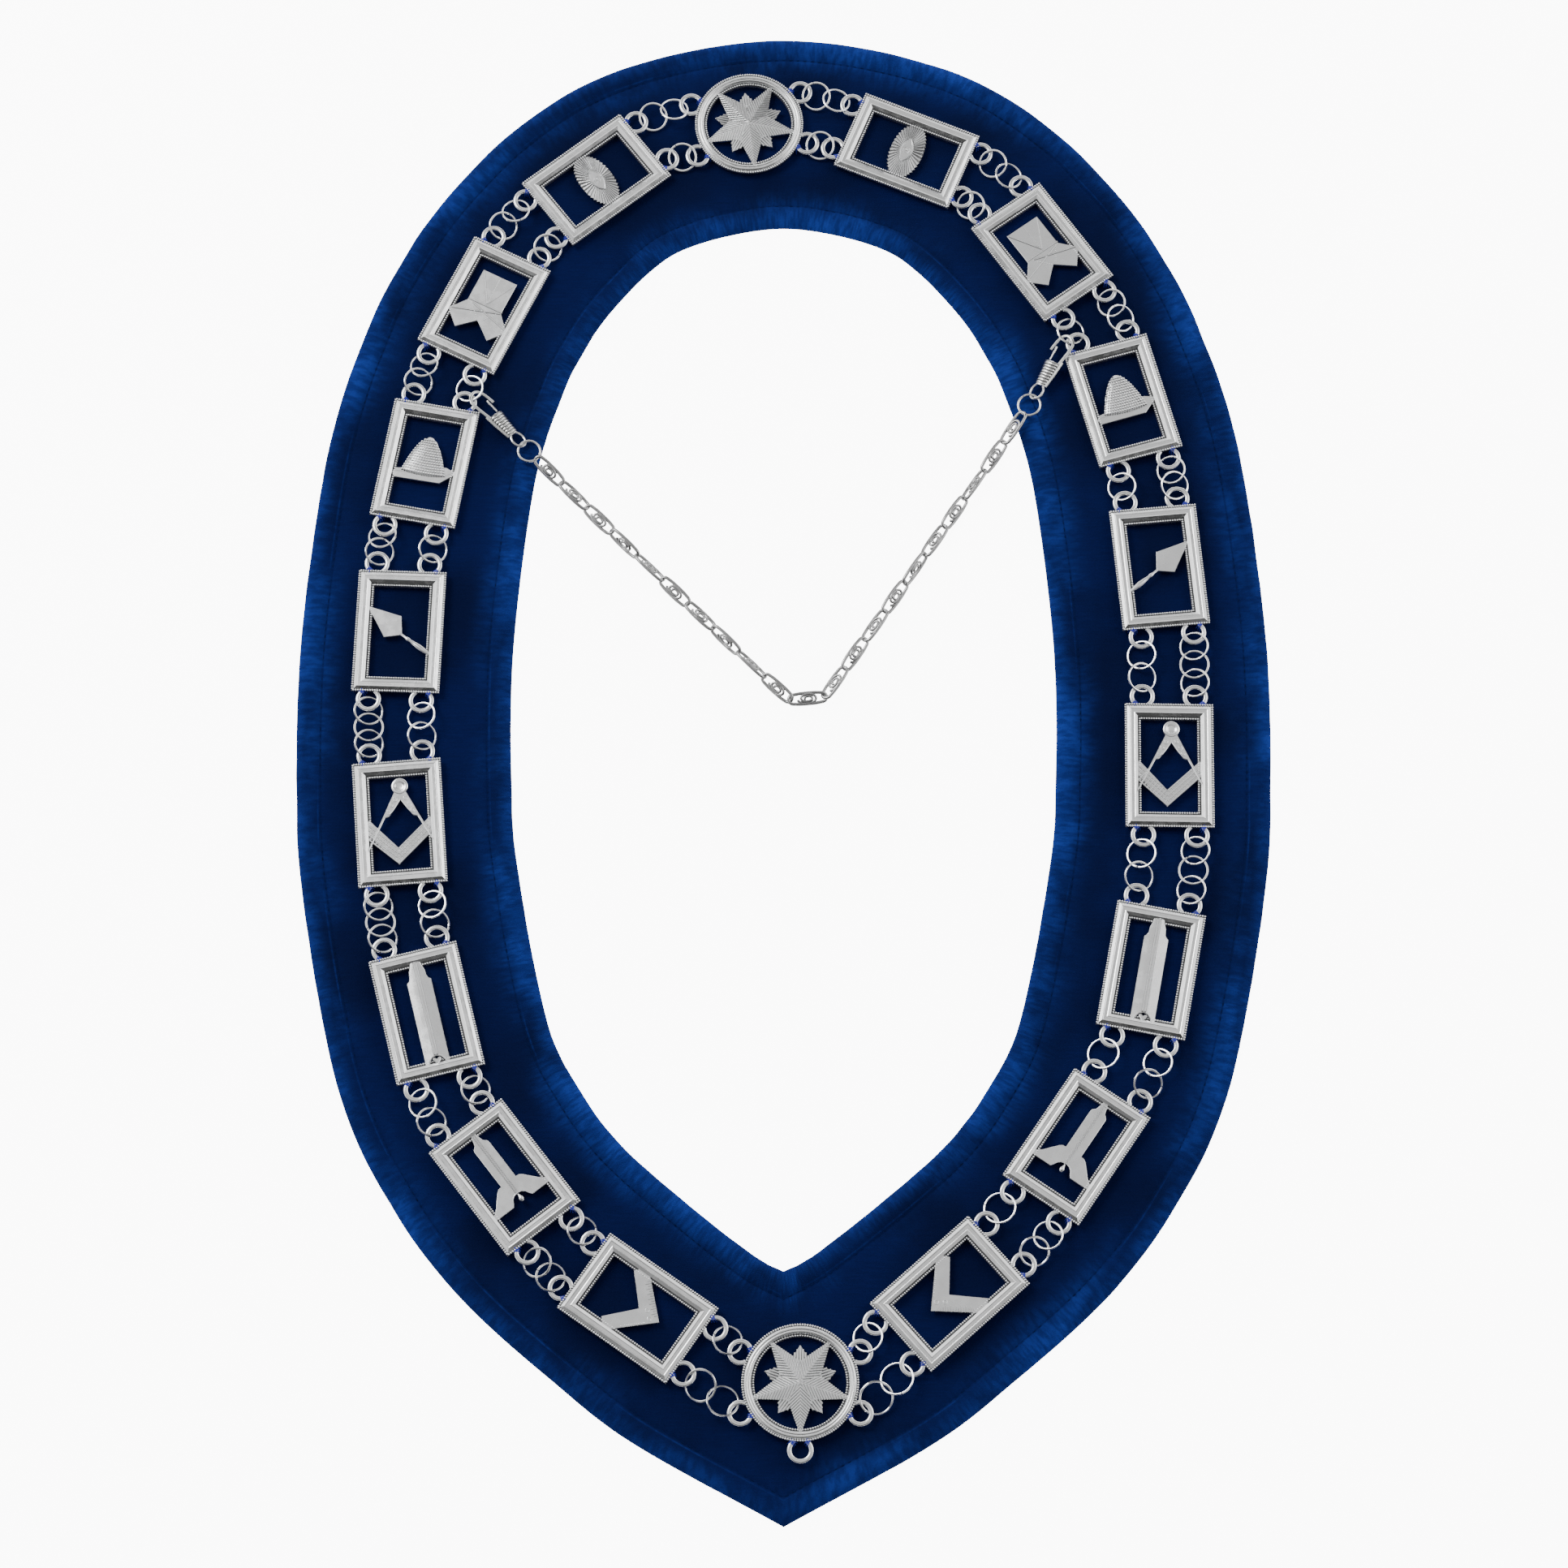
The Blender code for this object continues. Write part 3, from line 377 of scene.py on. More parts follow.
class Bench:
    """The bench where pieces are started and worked with modelling operators."""

    @staticmethod
    def take(piece: Piece) -> None:
        """Select one piece alone and make it the one that is worked on."""
        bpy.ops.object.select_all(action="DESELECT")
        piece.select_set(True)
        bpy.context.view_layer.objects.active = piece

    @classmethod
    def open(cls, piece: Piece) -> None:
        """Start editing a piece, with all of it selected."""
        cls.take(piece)
        bpy.ops.object.mode_set(mode="EDIT")
        bpy.ops.mesh.select_mode(type="VERT")
        bpy.ops.mesh.select_all(action="SELECT")

    @staticmethod
    def close() -> None:
        """Stop editing."""
        bpy.ops.object.mode_set(mode="OBJECT")

    @staticmethod
    def pick(piece: Piece, test: Callable[[bmesh.types.BMFace], bool]) -> None:
        """Select the faces of the open piece that pass a test, and nothing else."""
        bpy.ops.mesh.select_mode(type="FACE")
        bpy.ops.mesh.select_all(action="DESELECT")
        shape = bmesh.from_edit_mesh(piece.data)
        for face in shape.faces:
            if test(face):
                face.select_set(True)
        bmesh.update_edit_mesh(piece.data)

    @classmethod
    def start(cls, primitive: Callable, stretch: Sequence[float] = (1.0, 1.0, 1.0),
              **settings: object) -> Piece:
        """Start a piece from a primitive, with its place and size in its mesh."""
        bpy.ops.object.select_all(action="DESELECT")
        primitive(**settings)
        made = bpy.context.object
        made.scale = stretch
        bpy.ops.object.transform_apply(location=True, rotation=True, scale=True)
        return made

    @classmethod
    def disc(cls, sides: int, filled: bool = True) -> Piece:
        """Start a round face, or only its rim, round the origin."""
        return cls.start(bpy.ops.mesh.primitive_circle_add, vertices=sides,
                         fill_type="NGON" if filled else "NOTHING")

    @staticmethod
    def reshape(piece: Piece, points: Sequence[Vector]) -> None:
        """Move the corners of a flat start to the corners of an outline, turning left."""
        turning = sum(a.x * b.y - b.x * a.y for a, b in zip(points, [*points[1:], points[0]]))
        ordered = list(points) if turning >= 0 else list(reversed(points))
        for vertex, point in zip(piece.data.vertices, ordered):
            vertex.co = point

    @staticmethod
    def extrude(shift: Vector) -> None:
        """Draw out what is selected."""
        bpy.ops.mesh.extrude_region_move(TRANSFORM_OT_translate={"value": shift})

    @staticmethod
    def inset(width: float, rise: float = 0.0, even: bool = True) -> None:
        """Inset what is selected, and raise it; an uneven inset spares sharp corners."""
        bpy.ops.mesh.inset(thickness=width, depth=rise, use_even_offset=even)

    @staticmethod
    def cut(facing: Vector, distance: float) -> None:
        """Cut the whole open piece along a plane, by its facing and its distance."""
        bpy.ops.mesh.select_all(action="SELECT")
        bpy.ops.mesh.bisect(plane_co=facing * distance, plane_no=facing)

    @staticmethod
    def spin(angle: float, steps: int, axis: Vector = UP) -> None:
        """Sweep what is selected leftwards round an axis, by an angle in degrees."""
        bpy.ops.mesh.spin(steps=steps, angle=-math.radians(angle), center=(0.0, 0.0, 0.0), axis=axis)

    @classmethod
    def seal(cls) -> None:
        """Merge the open piece's doubles, turn its faces outwards and stop editing."""
        bpy.ops.mesh.select_all(action="SELECT")
        bpy.ops.mesh.remove_doubles(threshold=0.002 * MM)
        bpy.ops.mesh.delete_loose()
        bpy.ops.mesh.select_all(action="SELECT")
        bpy.ops.mesh.normals_make_consistent(inside=False)
        cls.close()

    @classmethod
    def arc_rod(cls, radius: float, width: float, thickness: float, start: float, sweep: float,
                steps: int, sides: int = 12) -> Piece:
        """Bend a rod round the origin, with both ends closed.

        Args:
            radius: middle radius of the bend.
            width: the rod's width in the plane of the bend.
            thickness: its height across that plane.
            start: where it starts, in degrees from +X.
            sweep: how far it goes, in degrees.
            steps: faces along the bend.
            sides: faces round the rod.

        Returns:
            The bent rod.
        """
        out = heading(start)
        rod = cls.disc(sides)
        for index, vertex in enumerate(rod.data.vertices):
            turn = math.tau * index / sides
            vertex.co = (out * (radius + width / 2 * math.cos(turn))
                         + UP * (thickness / 2 * math.sin(turn)))
        cls.open(rod)
        cls.spin(sweep, steps)
        cls.seal()
        return rod

    @classmethod
    def turned(cls, profile: Sequence[Spot], steps: int) -> Piece:
        """Turn a profile of (along, radius) about the X axis, from one end to the other."""
        blank = cls.disc(len(profile), filled=False)
        for vertex, (along, radius) in zip(blank.data.vertices, profile):
            vertex.co = (along, 0.0, radius)
        cls.open(blank)
        cls.spin(360, steps, RIGHT)
        cls.seal()
        return blank

    @classmethod
    def wire(cls, points: Sequence[Vector], radius: float, closed: bool = False,
             smoothness: int = 2) -> Piece:
        """Bend round wire along points."""
        curve = bpy.data.curves.new("wire", "CURVE")
        curve.dimensions = "3D"
        curve.bevel_depth = radius
        curve.bevel_resolution = smoothness
        curve.use_fill_caps = True
        spline = curve.splines.new("POLY")
        spline.points.add(len(points) - 1)
        spline.use_cyclic_u = closed
        for knot, point in zip(spline.points, points):
            knot.co = (*point, 1.0)
        cls.take(cls.put("wire", curve))
        bpy.ops.object.convert(target="MESH")
        made = bpy.context.object
        cls.open(made)
        cls.seal()
        return made

    @staticmethod
    def put(name: str, data: bpy.types.ID) -> Piece:
        """Put new data on the bench as an object."""
        made = bpy.data.objects.new(name, data)
        bpy.context.scene.collection.objects.link(made)
        return made

    @classmethod
    def cast(cls, name: str, points: Sequence[Vector], faces: Sequence[tuple]) -> Piece:
        """Make a piece from points and faces."""
        mesh = bpy.data.meshes.new(name)
        mesh.from_pydata(points, [], faces)
        return cls.put(name, mesh)

    @classmethod
    def joined(cls, name: str, pieces: Sequence[Piece]) -> Piece:
        """Join pieces into one, under a name."""
        cls.take(pieces[0])
        for piece in pieces[1:]:
            piece.select_set(True)
        if len(pieces) > 1:
            bpy.ops.object.join()
        made = bpy.context.view_layer.objects.active
        made.name = made.data.name = name
        return made

    @classmethod
    def copied(cls, piece: Piece) -> Piece:
        """Copy a piece together with its mesh."""
        return cls.put(piece.name, piece.data.copy())

    @staticmethod
    def discard(*pieces: Piece) -> None:
        """Clear pieces from the bench."""
        for piece in pieces:
            bpy.data.objects.remove(piece)

    @classmethod
    def crease(cls, piece: Piece, angle: float) -> Piece:
        """Shade a piece smoothly except over edges that bend more than an angle in degrees."""
        cls.take(piece)
        bpy.ops.object.shade_smooth_by_angle(angle=math.radians(angle), keep_sharp_edges=True)
        return piece

    @staticmethod
    def shade(piece: Piece, depths: Iterable[float]) -> None:
        """Write how deep in a recess each corner of a piece lies, from 0 to 1, as the depth of its
        painted shade.
        """
        layer = piece.data.attributes.new(PAINTED_SHADE_DEPTH, "FLOAT", "POINT")
        for corner, depth in zip(layer.data, depths):
            corner.value = depth

    @classmethod
    def finish(cls, piece: Piece, finish: Finish, slot: Slot, body: str = "root",
               replaces: Sequence[str] = (), crease: float = 35.0) -> Piece:
        """Shade, dress and hand over a finished piece.

        Args:
            piece: the piece, in place.
            finish: its finish.
            slot: the record's slot that the finish stands for; not used.
            body: the body that it moves with.
            replaces: the frame's nodes that it stands for.
            crease: the angle above which an edge stays sharp.

        Returns:
            The same piece.
        """
        cls.crease(piece, crease)
        piece.data.materials.clear()
        piece.data.materials.append(finish.material())
        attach(piece, body)
        if replaces:
            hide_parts(*replaces)
        piece.data.calc_loop_triangles()
        log.info("%s: %d triangles, rides on %s", piece.name, len(piece.data.loop_triangles), body)
        return piece


class Stamp:
    """A small shape modelled once, then struck many times into one mesh."""

    def __init__(self, pattern: Piece, foot: float = 0.0, head: float = 1.0,
                 crease: float = 50.0) -> None:
        """Take the shape from a pattern, which is used up.

        Args:
            pattern: the shape.
            foot: the share of its height below which it lies in a recess, in full painted shade.
            head: the share of its height above which it stands clear.
            crease: the angle above which its edges stay sharp.
        """
        self.corners = [vertex.co.copy() for vertex in pattern.data.vertices]
        self.sides = [tuple(face.vertices) for face in pattern.data.polygons]
        low, high = (pick(corner.z for corner in self.corners) for pick in (min, max))
        # painted shade depth of each corner, from full at the foot to none at the head
        self.depths = [max(0.0, min(1.0, (head - (corner.z - low) / (high - low))
                                    / (head - foot))) for corner in self.corners]
        self.crease = crease
        self.points: list[Vector] = []
        self.faces: list[tuple[int, ...]] = []
        Bench.discard(pattern)

    @classmethod
    def bead(cls, radius: float, flat: float = 1.0) -> "Stamp":
        """A small round bead."""
        return cls(Bench.start(bpy.ops.mesh.primitive_uv_sphere_add, (1.0, 1.0, flat),
                               segments=8, ring_count=5, radius=radius), foot=0.25, head=0.80)

    @classmethod
    def rib(cls) -> "Stamp":
        """A rib from 0 to 1 along X, 1 wide and 1 high, shaped like a roof."""
        rib = Bench.start(bpy.ops.mesh.primitive_cube_add, size=1.0, location=(0.5, 0.0, 0.5))
        Bench.open(rib)
        Bench.pick(rib, lambda face: face.normal.z > 0.5)
        bpy.ops.transform.resize(value=(0.97, 0.30, 1.0), center_override=(0.5, 0.0, 1.0))
        Bench.close()
        return cls(rib, crease=20.0)

    def add(self, points: Sequence[Vector]) -> None:
        """Add one copy of the shape with its corners at points."""
        start = len(self.points)
        self.points += points
        self.faces += [tuple(start + corner for corner in side) for side in self.sides]

    def strike(self, place: Matrix) -> None:
        """Add one copy of the shape at a place."""
        self.add([place @ corner for corner in self.corners])

    def draw(self, start: Vector, end: Vector, width: float, rise: float,
             end_width: float | None = None) -> None:
        """Add one copy of a rib from one point to another, with a width at each end."""
        run = end - start
        aside = Vector((-run.y, run.x, 0.0)).normalized()
        wide = width if end_width is None else end_width
        self.add([start + run * corner.x + UP * (corner.z * rise)
                  + aside * (corner.y * (width + (wide - width) * corner.x)) for corner in self.corners])

    def lift(self, name: str) -> Piece:
        """Give all the copies as one piece, with their painted shade depths."""
        made = Bench.cast(name, self.points, self.faces)
        Bench.shade(made, self.depths * (len(self.points) // len(self.depths)))
        return Bench.crease(made, self.crease)


def at(spot: Sequence[float], level: float = 0.0) -> Vector:
    """Bring a spot in millimetres to a point at a level."""
    return Vector((spot[0] * MM, spot[1] * MM, level))


def flat_outline(spots: Iterable[Sequence[float]], level: float) -> list[Vector]:
    """Bring spots in millimetres to points at a level."""
    return [at(spot, level) for spot in spots]


def heading(degrees: float, length: float = 1.0) -> Vector:
    """A flat way of a length, by its angle from +X."""
    angle = math.radians(degrees)
    return Vector((length * math.cos(angle), length * math.sin(angle), 0.0))


def swing(degrees: float) -> Matrix:
    """A turn leftwards about Z."""
    return Matrix.Rotation(math.radians(degrees), 4, "Z")


def axes(x: Vector, y: Vector, z: Vector) -> Matrix:
    """The turn that brings the three axes to three ways."""
    return Matrix((x, y, z)).transposed().to_4x4()


def opposite(point: Vector) -> Vector:
    """A point's mirror image across the middle line."""
    return Vector((-point.x, point.y, point.z))


def paired(half: Sequence[Spot], middle: float) -> list[Spot]:
    """An outline from its right half, led back along the left about a middle line."""
    return ([(middle + x, y) for x, y in half] + [(middle - x, y) for x, y in reversed(half) if x])


def oval(radius_x: float, radius_y: float, sides: int, centre: Spot = (0.0, 0.0)) -> list[Spot]:
    """Corners of an oval."""
    return [(centre[0] + radius_x * math.cos(math.tau * side / sides),
             centre[1] + radius_y * math.sin(math.tau * side / sides)) for side in range(sides)]


def smooth_curve(points: Sequence[Vector], steps: int) -> list[Vector]:
    """Sample a Catmull-Rom curve, whose first and last points only steer it."""
    sampled = []
    for index in range(1, len(points) - 2):
        before, start, end, after = points[index - 1:index + 3]
        for step in range(steps):
            t = step / steps
            sampled.append(0.5 * (2 * start + (end - before) * t
                                  + (2 * before - 5 * start + 4 * end - after) * t ** 2
                                  + (3 * start - before - 3 * end + after) * t ** 3))
    sampled.append(points[-2])
    return sampled


def curve_through(points: Sequence[Vector], steps: int) -> list[Vector]:
    """Sample a smooth curve through points, led on straight at both ends."""
    return smooth_curve([2 * points[0] - points[1], *points, 2 * points[-1] - points[-2]], steps)


def evenly(points: Sequence[Vector], count: int, closed: bool = False) -> list[tuple]:
    """Points at even distances along a line of points, each with the way that it runs there."""
    corners = [*points, points[0]] if closed else list(points)
    lengths = [(end - start).length for start, end in zip(corners, corners[1:])]
    total = sum(lengths)
    spaced, index, passed = [], 0, 0.0
    for step in range(count):
        target = total * step / (count if closed else max(count - 1, 1))
        while index < len(lengths) - 1 and passed + lengths[index] < target:
            passed += lengths[index]
            index += 1
        run = corners[index + 1] - corners[index]
        share = (target - passed) / lengths[index] if lengths[index] else 0.0
        spaced.append((corners[index] + run * share, run.normalized()))
    return spaced


def pitched(line: Sequence[Vector], pitch: float) -> list[tuple]:
    """Points at about a pitch along a closed line, each with the way that it runs there."""
    perimeter = sum((end - start).length for start, end in zip(line, [*line[1:], line[0]]))
    return evenly(line, round(perimeter / pitch), closed=True)


class Rib(NamedTuple):
    """A raised line on a figure, in millimetres."""

    x0: float
    y0: float
    x1: float
    y1: float
    width: float = 0.75
    rise: float = 0.17


@dataclass
class Figure:
    """A traditional figure on a plate, between its underside and its face."""

    low: float
    high: float
    mirrored: bool = False
    rib_foot: float = 0.04

    def drawn_up(self, spots: Sequence[Spot], height: float) -> Piece:
        """Draw an outline's face up from the underside, and leave the part open."""
        part = Bench.disc(len(spots))
        Bench.reshape(part, flat_outline(spots, self.low))
        Bench.open(part)
        Bench.extrude(UP * height)
        return part

    def slab(self, spots: Sequence[Spot], lift: float = 0.0, rim: float = 0.22 * MM) -> Piece:
        """Cut a flat part and soften its upper rim.

        Args:
            spots: its outline in millimetres.
            lift: how much higher its face lies than the figure's.
            rim: the width of its softened rim.

        Returns:
            The flat part.
        """
        part = self.drawn_up(spots, self.high + lift - self.low - rim * 0.8)
        Bench.inset(rim, rim * 0.8, even=False)
        Bench.seal()
        return Bench.crease(part, 25.0)

    def ribs(self, lines: Iterable[Rib], lift: float = 0.0) -> Piece:
        """Raise lines on the figure's face."""
        stamp = Stamp.rib()
        base = self.high + lift - self.rib_foot * MM
        for rib in lines:
            stamp.draw(at((rib.x0, rib.y0), base), at((rib.x1, rib.y1), base),
                       rib.width * MM, (rib.rise + self.rib_foot) * MM)
        return stamp.lift("ribs")

    def beads(self, points: Iterable[Vector], radius: float) -> Piece:
        """Raise small flat beads at points."""
        stamp = Stamp.bead(radius, 0.8)
        for point in points:
            stamp.strike(Matrix.Translation(point))
        return stamp.lift("beads")

    def line(self, spots: Sequence[Spot], radius: float, closed: bool = False,
             lift: float = 0.0) -> Piece:
        """Lay a raised round line along spots in millimetres."""
        return Bench.wire(flat_outline(spots, self.high + lift), radius, closed, 1)

    def parts(self) -> list[Piece]:
        """Model the figure's parts."""
        raise NotImplementedError

    def model(self) -> Piece:
        """Join the figure's parts, turned for the other hand if it is mirrored."""
        figure = Bench.joined("figure", self.parts())
        if self.mirrored:
            figure.data.transform(Matrix.Diagonal((-1.0, 1.0, 1.0, 1.0)))
            figure.data.flip_normals()
        return figure


@dataclass
class RayedEye(Figure):
    """An eye in an oval of rays."""

    half_width: float = 14.4
    half_height: float = 7.8
    rays: int = 44
    lid_width: float = 6.1
    lid_height: float = 2.8
    middle: Spot = (0.3, 0.3)

    def lid(self, side: int, points: int = 9) -> list[Spot]:
        """The upper or lower lid from corner to corner."""
        spots = []
        for index in range(points):
            share = 2 * index / (points - 1) - 1
            spots.append((self.middle[0] + side * share * self.lid_width,
                          self.middle[1] + side * self.lid_height * (1 - share ** 2)))
        return spots

    def parts(self) -> list[Piece]:
        """The oval, its rays and the eye."""
        body = self.slab(oval(self.half_width * 0.965, self.half_height * 0.95, self.rays),
                         lift=-0.65 * MM)
        stamp = Stamp.rib()
        inner = oval(self.lid_width * 0.98, self.lid_height * 1.05, self.rays, self.middle)
        outer = oval(self.half_width, self.half_height, self.rays)
        for index in range(self.rays):
            narrow, wide = (math.dist(ring[index], ring[index - 1]) * MM for ring in (inner, outer))
            stamp.draw(at(inner[index], self.high - 0.2 * MM),
                       at(outer[index], self.high - 0.8 * MM), narrow, 0.38 * MM, wide * 1.02)
        lids = self.lid(1)[:-1] + self.lid(-1)[:-1]
        return [body, stamp.lift("rays"), self.slab(lids, lift=0.45 * MM, rim=0.35 * MM),
                self.line(lids, 0.38 * MM, True, 0.38 * MM),
                self.line(oval(1.5, 1.5, 12, self.middle), 0.26 * MM, True, 0.5 * MM),
                self.beads([at(self.middle, self.high + 0.5 * MM)], 0.6 * MM)]


@dataclass
class Proposition(Figure):
    """The figure of a square on each side of a right triangle."""

    outline: Sequence[Spot] = ((-8.5, 16.0), (-8.5, -0.5), (-14.6, -8.2), (-7.5, -15.2),
                               (0.6, -8.1), (9.2, -15.2), (15.4, -7.8), (8.9, -0.3), (8.9, 16.0))
    raised: Sequence[Rib] = (Rib(-8.0, 15.5, 0.9, 1.2, 1.0, 0.24), Rib(0.5, 15.8, 0.8, 1.2, 0.6, 0.12),
                             Rib(8.6, 15.5, 1.1, 1.2, 0.6, 0.12), Rib(-8.2, 0.2, 9.3, 0.2, 1.0, 0.26),
                             Rib(-14.2, -7.6, 9.0, -0.5, 1.0, 0.24),
                             Rib(-5.7, -0.9, 15.2, -7.2, 1.0, 0.24))
    scored: Sequence[tuple[Spot, Spot]] = (((-5.7, -1.2), (0.0, -7.6)), ((7.4, -0.8), (2.6, -7.2)))

    def parts(self) -> list[Piece]:
        """The plate, its ribs and its dotted lines."""
        dots = [at(start, self.high).lerp(at(end, self.high), step / 8)
                for start, end in self.scored for step in range(9)]
        return [self.slab(self.outline), self.ribs(self.raised), self.beads(dots, 0.28 * MM)]


@dataclass
class Beehive(Figure):
    """A straw beehive on a plank."""

    plank: Sequence[Spot] = ((-14.1, -6.6), (-12.6, -8.8), (8.4, -8.5), (13.9, -3.8),
                             (14.2, -1.8), (10.0, -0.3), (-12.8, -4.2))
    base: float = -4.6
    top: float = 13.0
    half_base: float = 10.2
    bulge: float = 1.5
    rows: int = 14
    straw: float = 1.16
    cuts: int = 10

    def half(self, y: float) -> float:
        """Half the hive's width at a height, in millimetres."""
        share = (y - self.base) / (self.top - self.base)
        return self.half_base * math.sqrt(max(0.0, 1 - share))

    def crown(self, x: float, y: float) -> float:
        """How far the hive's face stands up at a spot."""
        wide = self.half(y)
        if wide <= 0.01:
            return 0.0
        return self.bulge * MM * math.sqrt(max(0.0, 1 - (x / wide) ** 2)) * min(1.0, wide / 4)

    def parts(self) -> list[Piece]:
        """The plank, the hive and its rows of straw."""
        spots = [(self.half_base * share, self.base - 0.9 * (1 - share ** 2))
                 for share in (-1, -0.6, -0.2, 0.2, 0.6, 1)]
        for index in range(1, 12):
            y = self.base + (self.top - self.base) * (1 - (1 - index / 12) ** 2)
            spots.append((self.half(y), y))
        spots += [(-x, y) for x, y in reversed(spots[6:])]
        hive = self.drawn_up(spots, self.high - self.low - 0.1 * MM)
        for step in range(1, self.cuts):
            share = step / self.cuts
            Bench.cut(AHEAD, (self.base + (self.top - self.base) * share) * MM)
            Bench.cut(RIGHT, self.half_base * (2 * share - 1) * MM)
        Bench.seal()
        for vertex in hive.data.vertices:
            if vertex.co.z > self.low + 0.1 * MM:
                vertex.co.z = self.high + self.crown(vertex.co.x / MM, vertex.co.y / MM) - 0.1 * MM
        dots = []
        for row in range(self.rows):
            y = self.base + (row + 0.15) * (self.top - self.base - 1.2) / (self.rows - 1)
            wide = self.half(y) - 0.35
            count = max(1, round(2 * wide / self.straw))
            for index in range(count + 1):
                x = wide * (2 * index / count - 1)
                sag = y - 0.8 * (1 - (x / self.half_base) ** 2)
                dots.append(at((x, sag), self.high + self.crown(x, sag)))
        edge = self.line([(-12.4, -5.6), (8.9, -5.3), (13.6, -2.4)], 0.18 * MM)
        return [self.slab(self.plank), edge, hive, self.beads(dots, 0.58 * MM)]


@dataclass
class Trowel(Figure):
    """A mason's trowel, its point up to one side."""

    blade: Sequence[Spot] = ((-0.6, 7.5), (-1.4, -1.6), (6.8, -2.9), (15.0, 11.8))
    heel: Spot = (-0.6, -1.0)
    butt: Spot = (-14.2, -10.4)
    handle: Sequence[Spot] = ((0.0, 0.0), (0.0, 0.62), (0.18, 0.60), (0.24, 0.95), (0.30, 0.98),
                              (0.34, 0.70), (0.50, 1.15), (0.66, 1.42), (0.82, 1.15),
                              (0.93, 0.80), (1.0, 0.62), (1.0, 0.0))

    def parts(self) -> list[Piece]:
        """The blade and the turned handle."""
        run = at(self.butt) - at(self.heel)
        handle = Bench.turned([(along * run.length, radius * MM) for along, radius in self.handle], 16)
        handle.data.transform(Matrix.Translation(at(self.heel, self.high - 0.2 * MM))
                              @ Matrix.Rotation(math.atan2(run.y, run.x), 4, "Z")
                              @ Matrix.Diagonal((1.0, 1.0, 0.75, 1.0)))
        return [self.slab(self.blade), handle]


@dataclass
class Compasses(Figure):
    """A pair of compasses over a chequered square."""

    square: Sequence[Spot] = ((-1.1, -19.3), (15.6, -4.0), (15.6, 0.6), (13.6, 2.1),
                              (-1.1, -11.4), (-13.4, 2.1), (-15.2, 0.9), (-15.2, -4.0))
    leg: Sequence[Spot] = ((-1.9, 14.3), (-17.0, -16.8), (-15.9, -15.4), (-6.4, 2.4),
                           (-4.6, 3.0), (-3.4, 4.6), (-1.9, 6.4), (1.1, 10.9), (1.1, 15.4))
    middle: float = 0.95
    hinge: Spot = (0.95, 16.9)
    hinge_radius: float = 3.7
    cell: float = 1.75

    def arm(self, side: int) -> list[Rib]:
        """The raised grid along one arm of the square."""
        corner = Vector((-1.1, -19.3))
        along = Vector((side * 0.737, 0.676))
        inwards = Vector((-side * 0.676, 0.737))
        length, width = 22.0, 5.75
        lines = []
        for step in range(4):
            offset = 0.4 + step * (width - 0.8) / 3
            start = corner + inwards * offset + along * (offset * 0.9)
            end = corner + inwards * offset + along * length
            lines.append(Rib(*start, *end, 0.95, 0.22))
        count = int(length / self.cell)
        for step in range(count):
            foot = corner + along * (0.4 + self.cell * step)
            reach = min(width - 0.3, 0.3 + self.cell * step)
            lines.append(Rib(*(foot + inwards * 0.3), *(foot + inwards * reach), 0.85, 0.20))
        return lines

    def curl(self, centre: Spot, radius: float, turn: float) -> Piece:
        """A small scroll chased on a leg."""
        spots = []
        for step in range(13):
            way = heading(turn + 32 * step, radius * (1 - step / 16))
            spots.append((centre[0] + way.x, centre[1] + way.y))
        return self.line(spots, 0.26 * MM, lift=0.72 * MM)

    def parts(self) -> list[Piece]:
        """The square with its grid, the legs with their scrolls and the hinge."""
        raised = 0.7 * MM
        other = [(2 * self.middle - x, y) for x, y in self.leg]
        hinge = self.drawn_up(oval(self.hinge_radius, self.hinge_radius, 28, self.hinge),
                              self.high - self.low + raised)
        for width, rise in ((0.35, 0.25), (0.9, -0.05), (0.5, -0.35), (0.7, -0.15)):
            Bench.inset(width * MM, rise * MM)
        Bench.seal()
        curls = [self.curl((side * x + self.middle, y), radius, turn + 90 * (1 - side))
                 for side in (-1, 1)
                 for x, y, radius, turn in ((2.5, 11.0, 1.25, 60), (3.9, 8.2, 1.35, 240),
                                            (5.5, 5.2, 1.3, 60))]
        return [self.slab(self.square), self.ribs([*self.arm(1), *self.arm(-1)]),
                self.slab(self.leg, lift=raised, rim=0.32 * MM),
                self.slab(other, lift=raised + 0.02 * MM, rim=0.32 * MM), hinge, *curls]


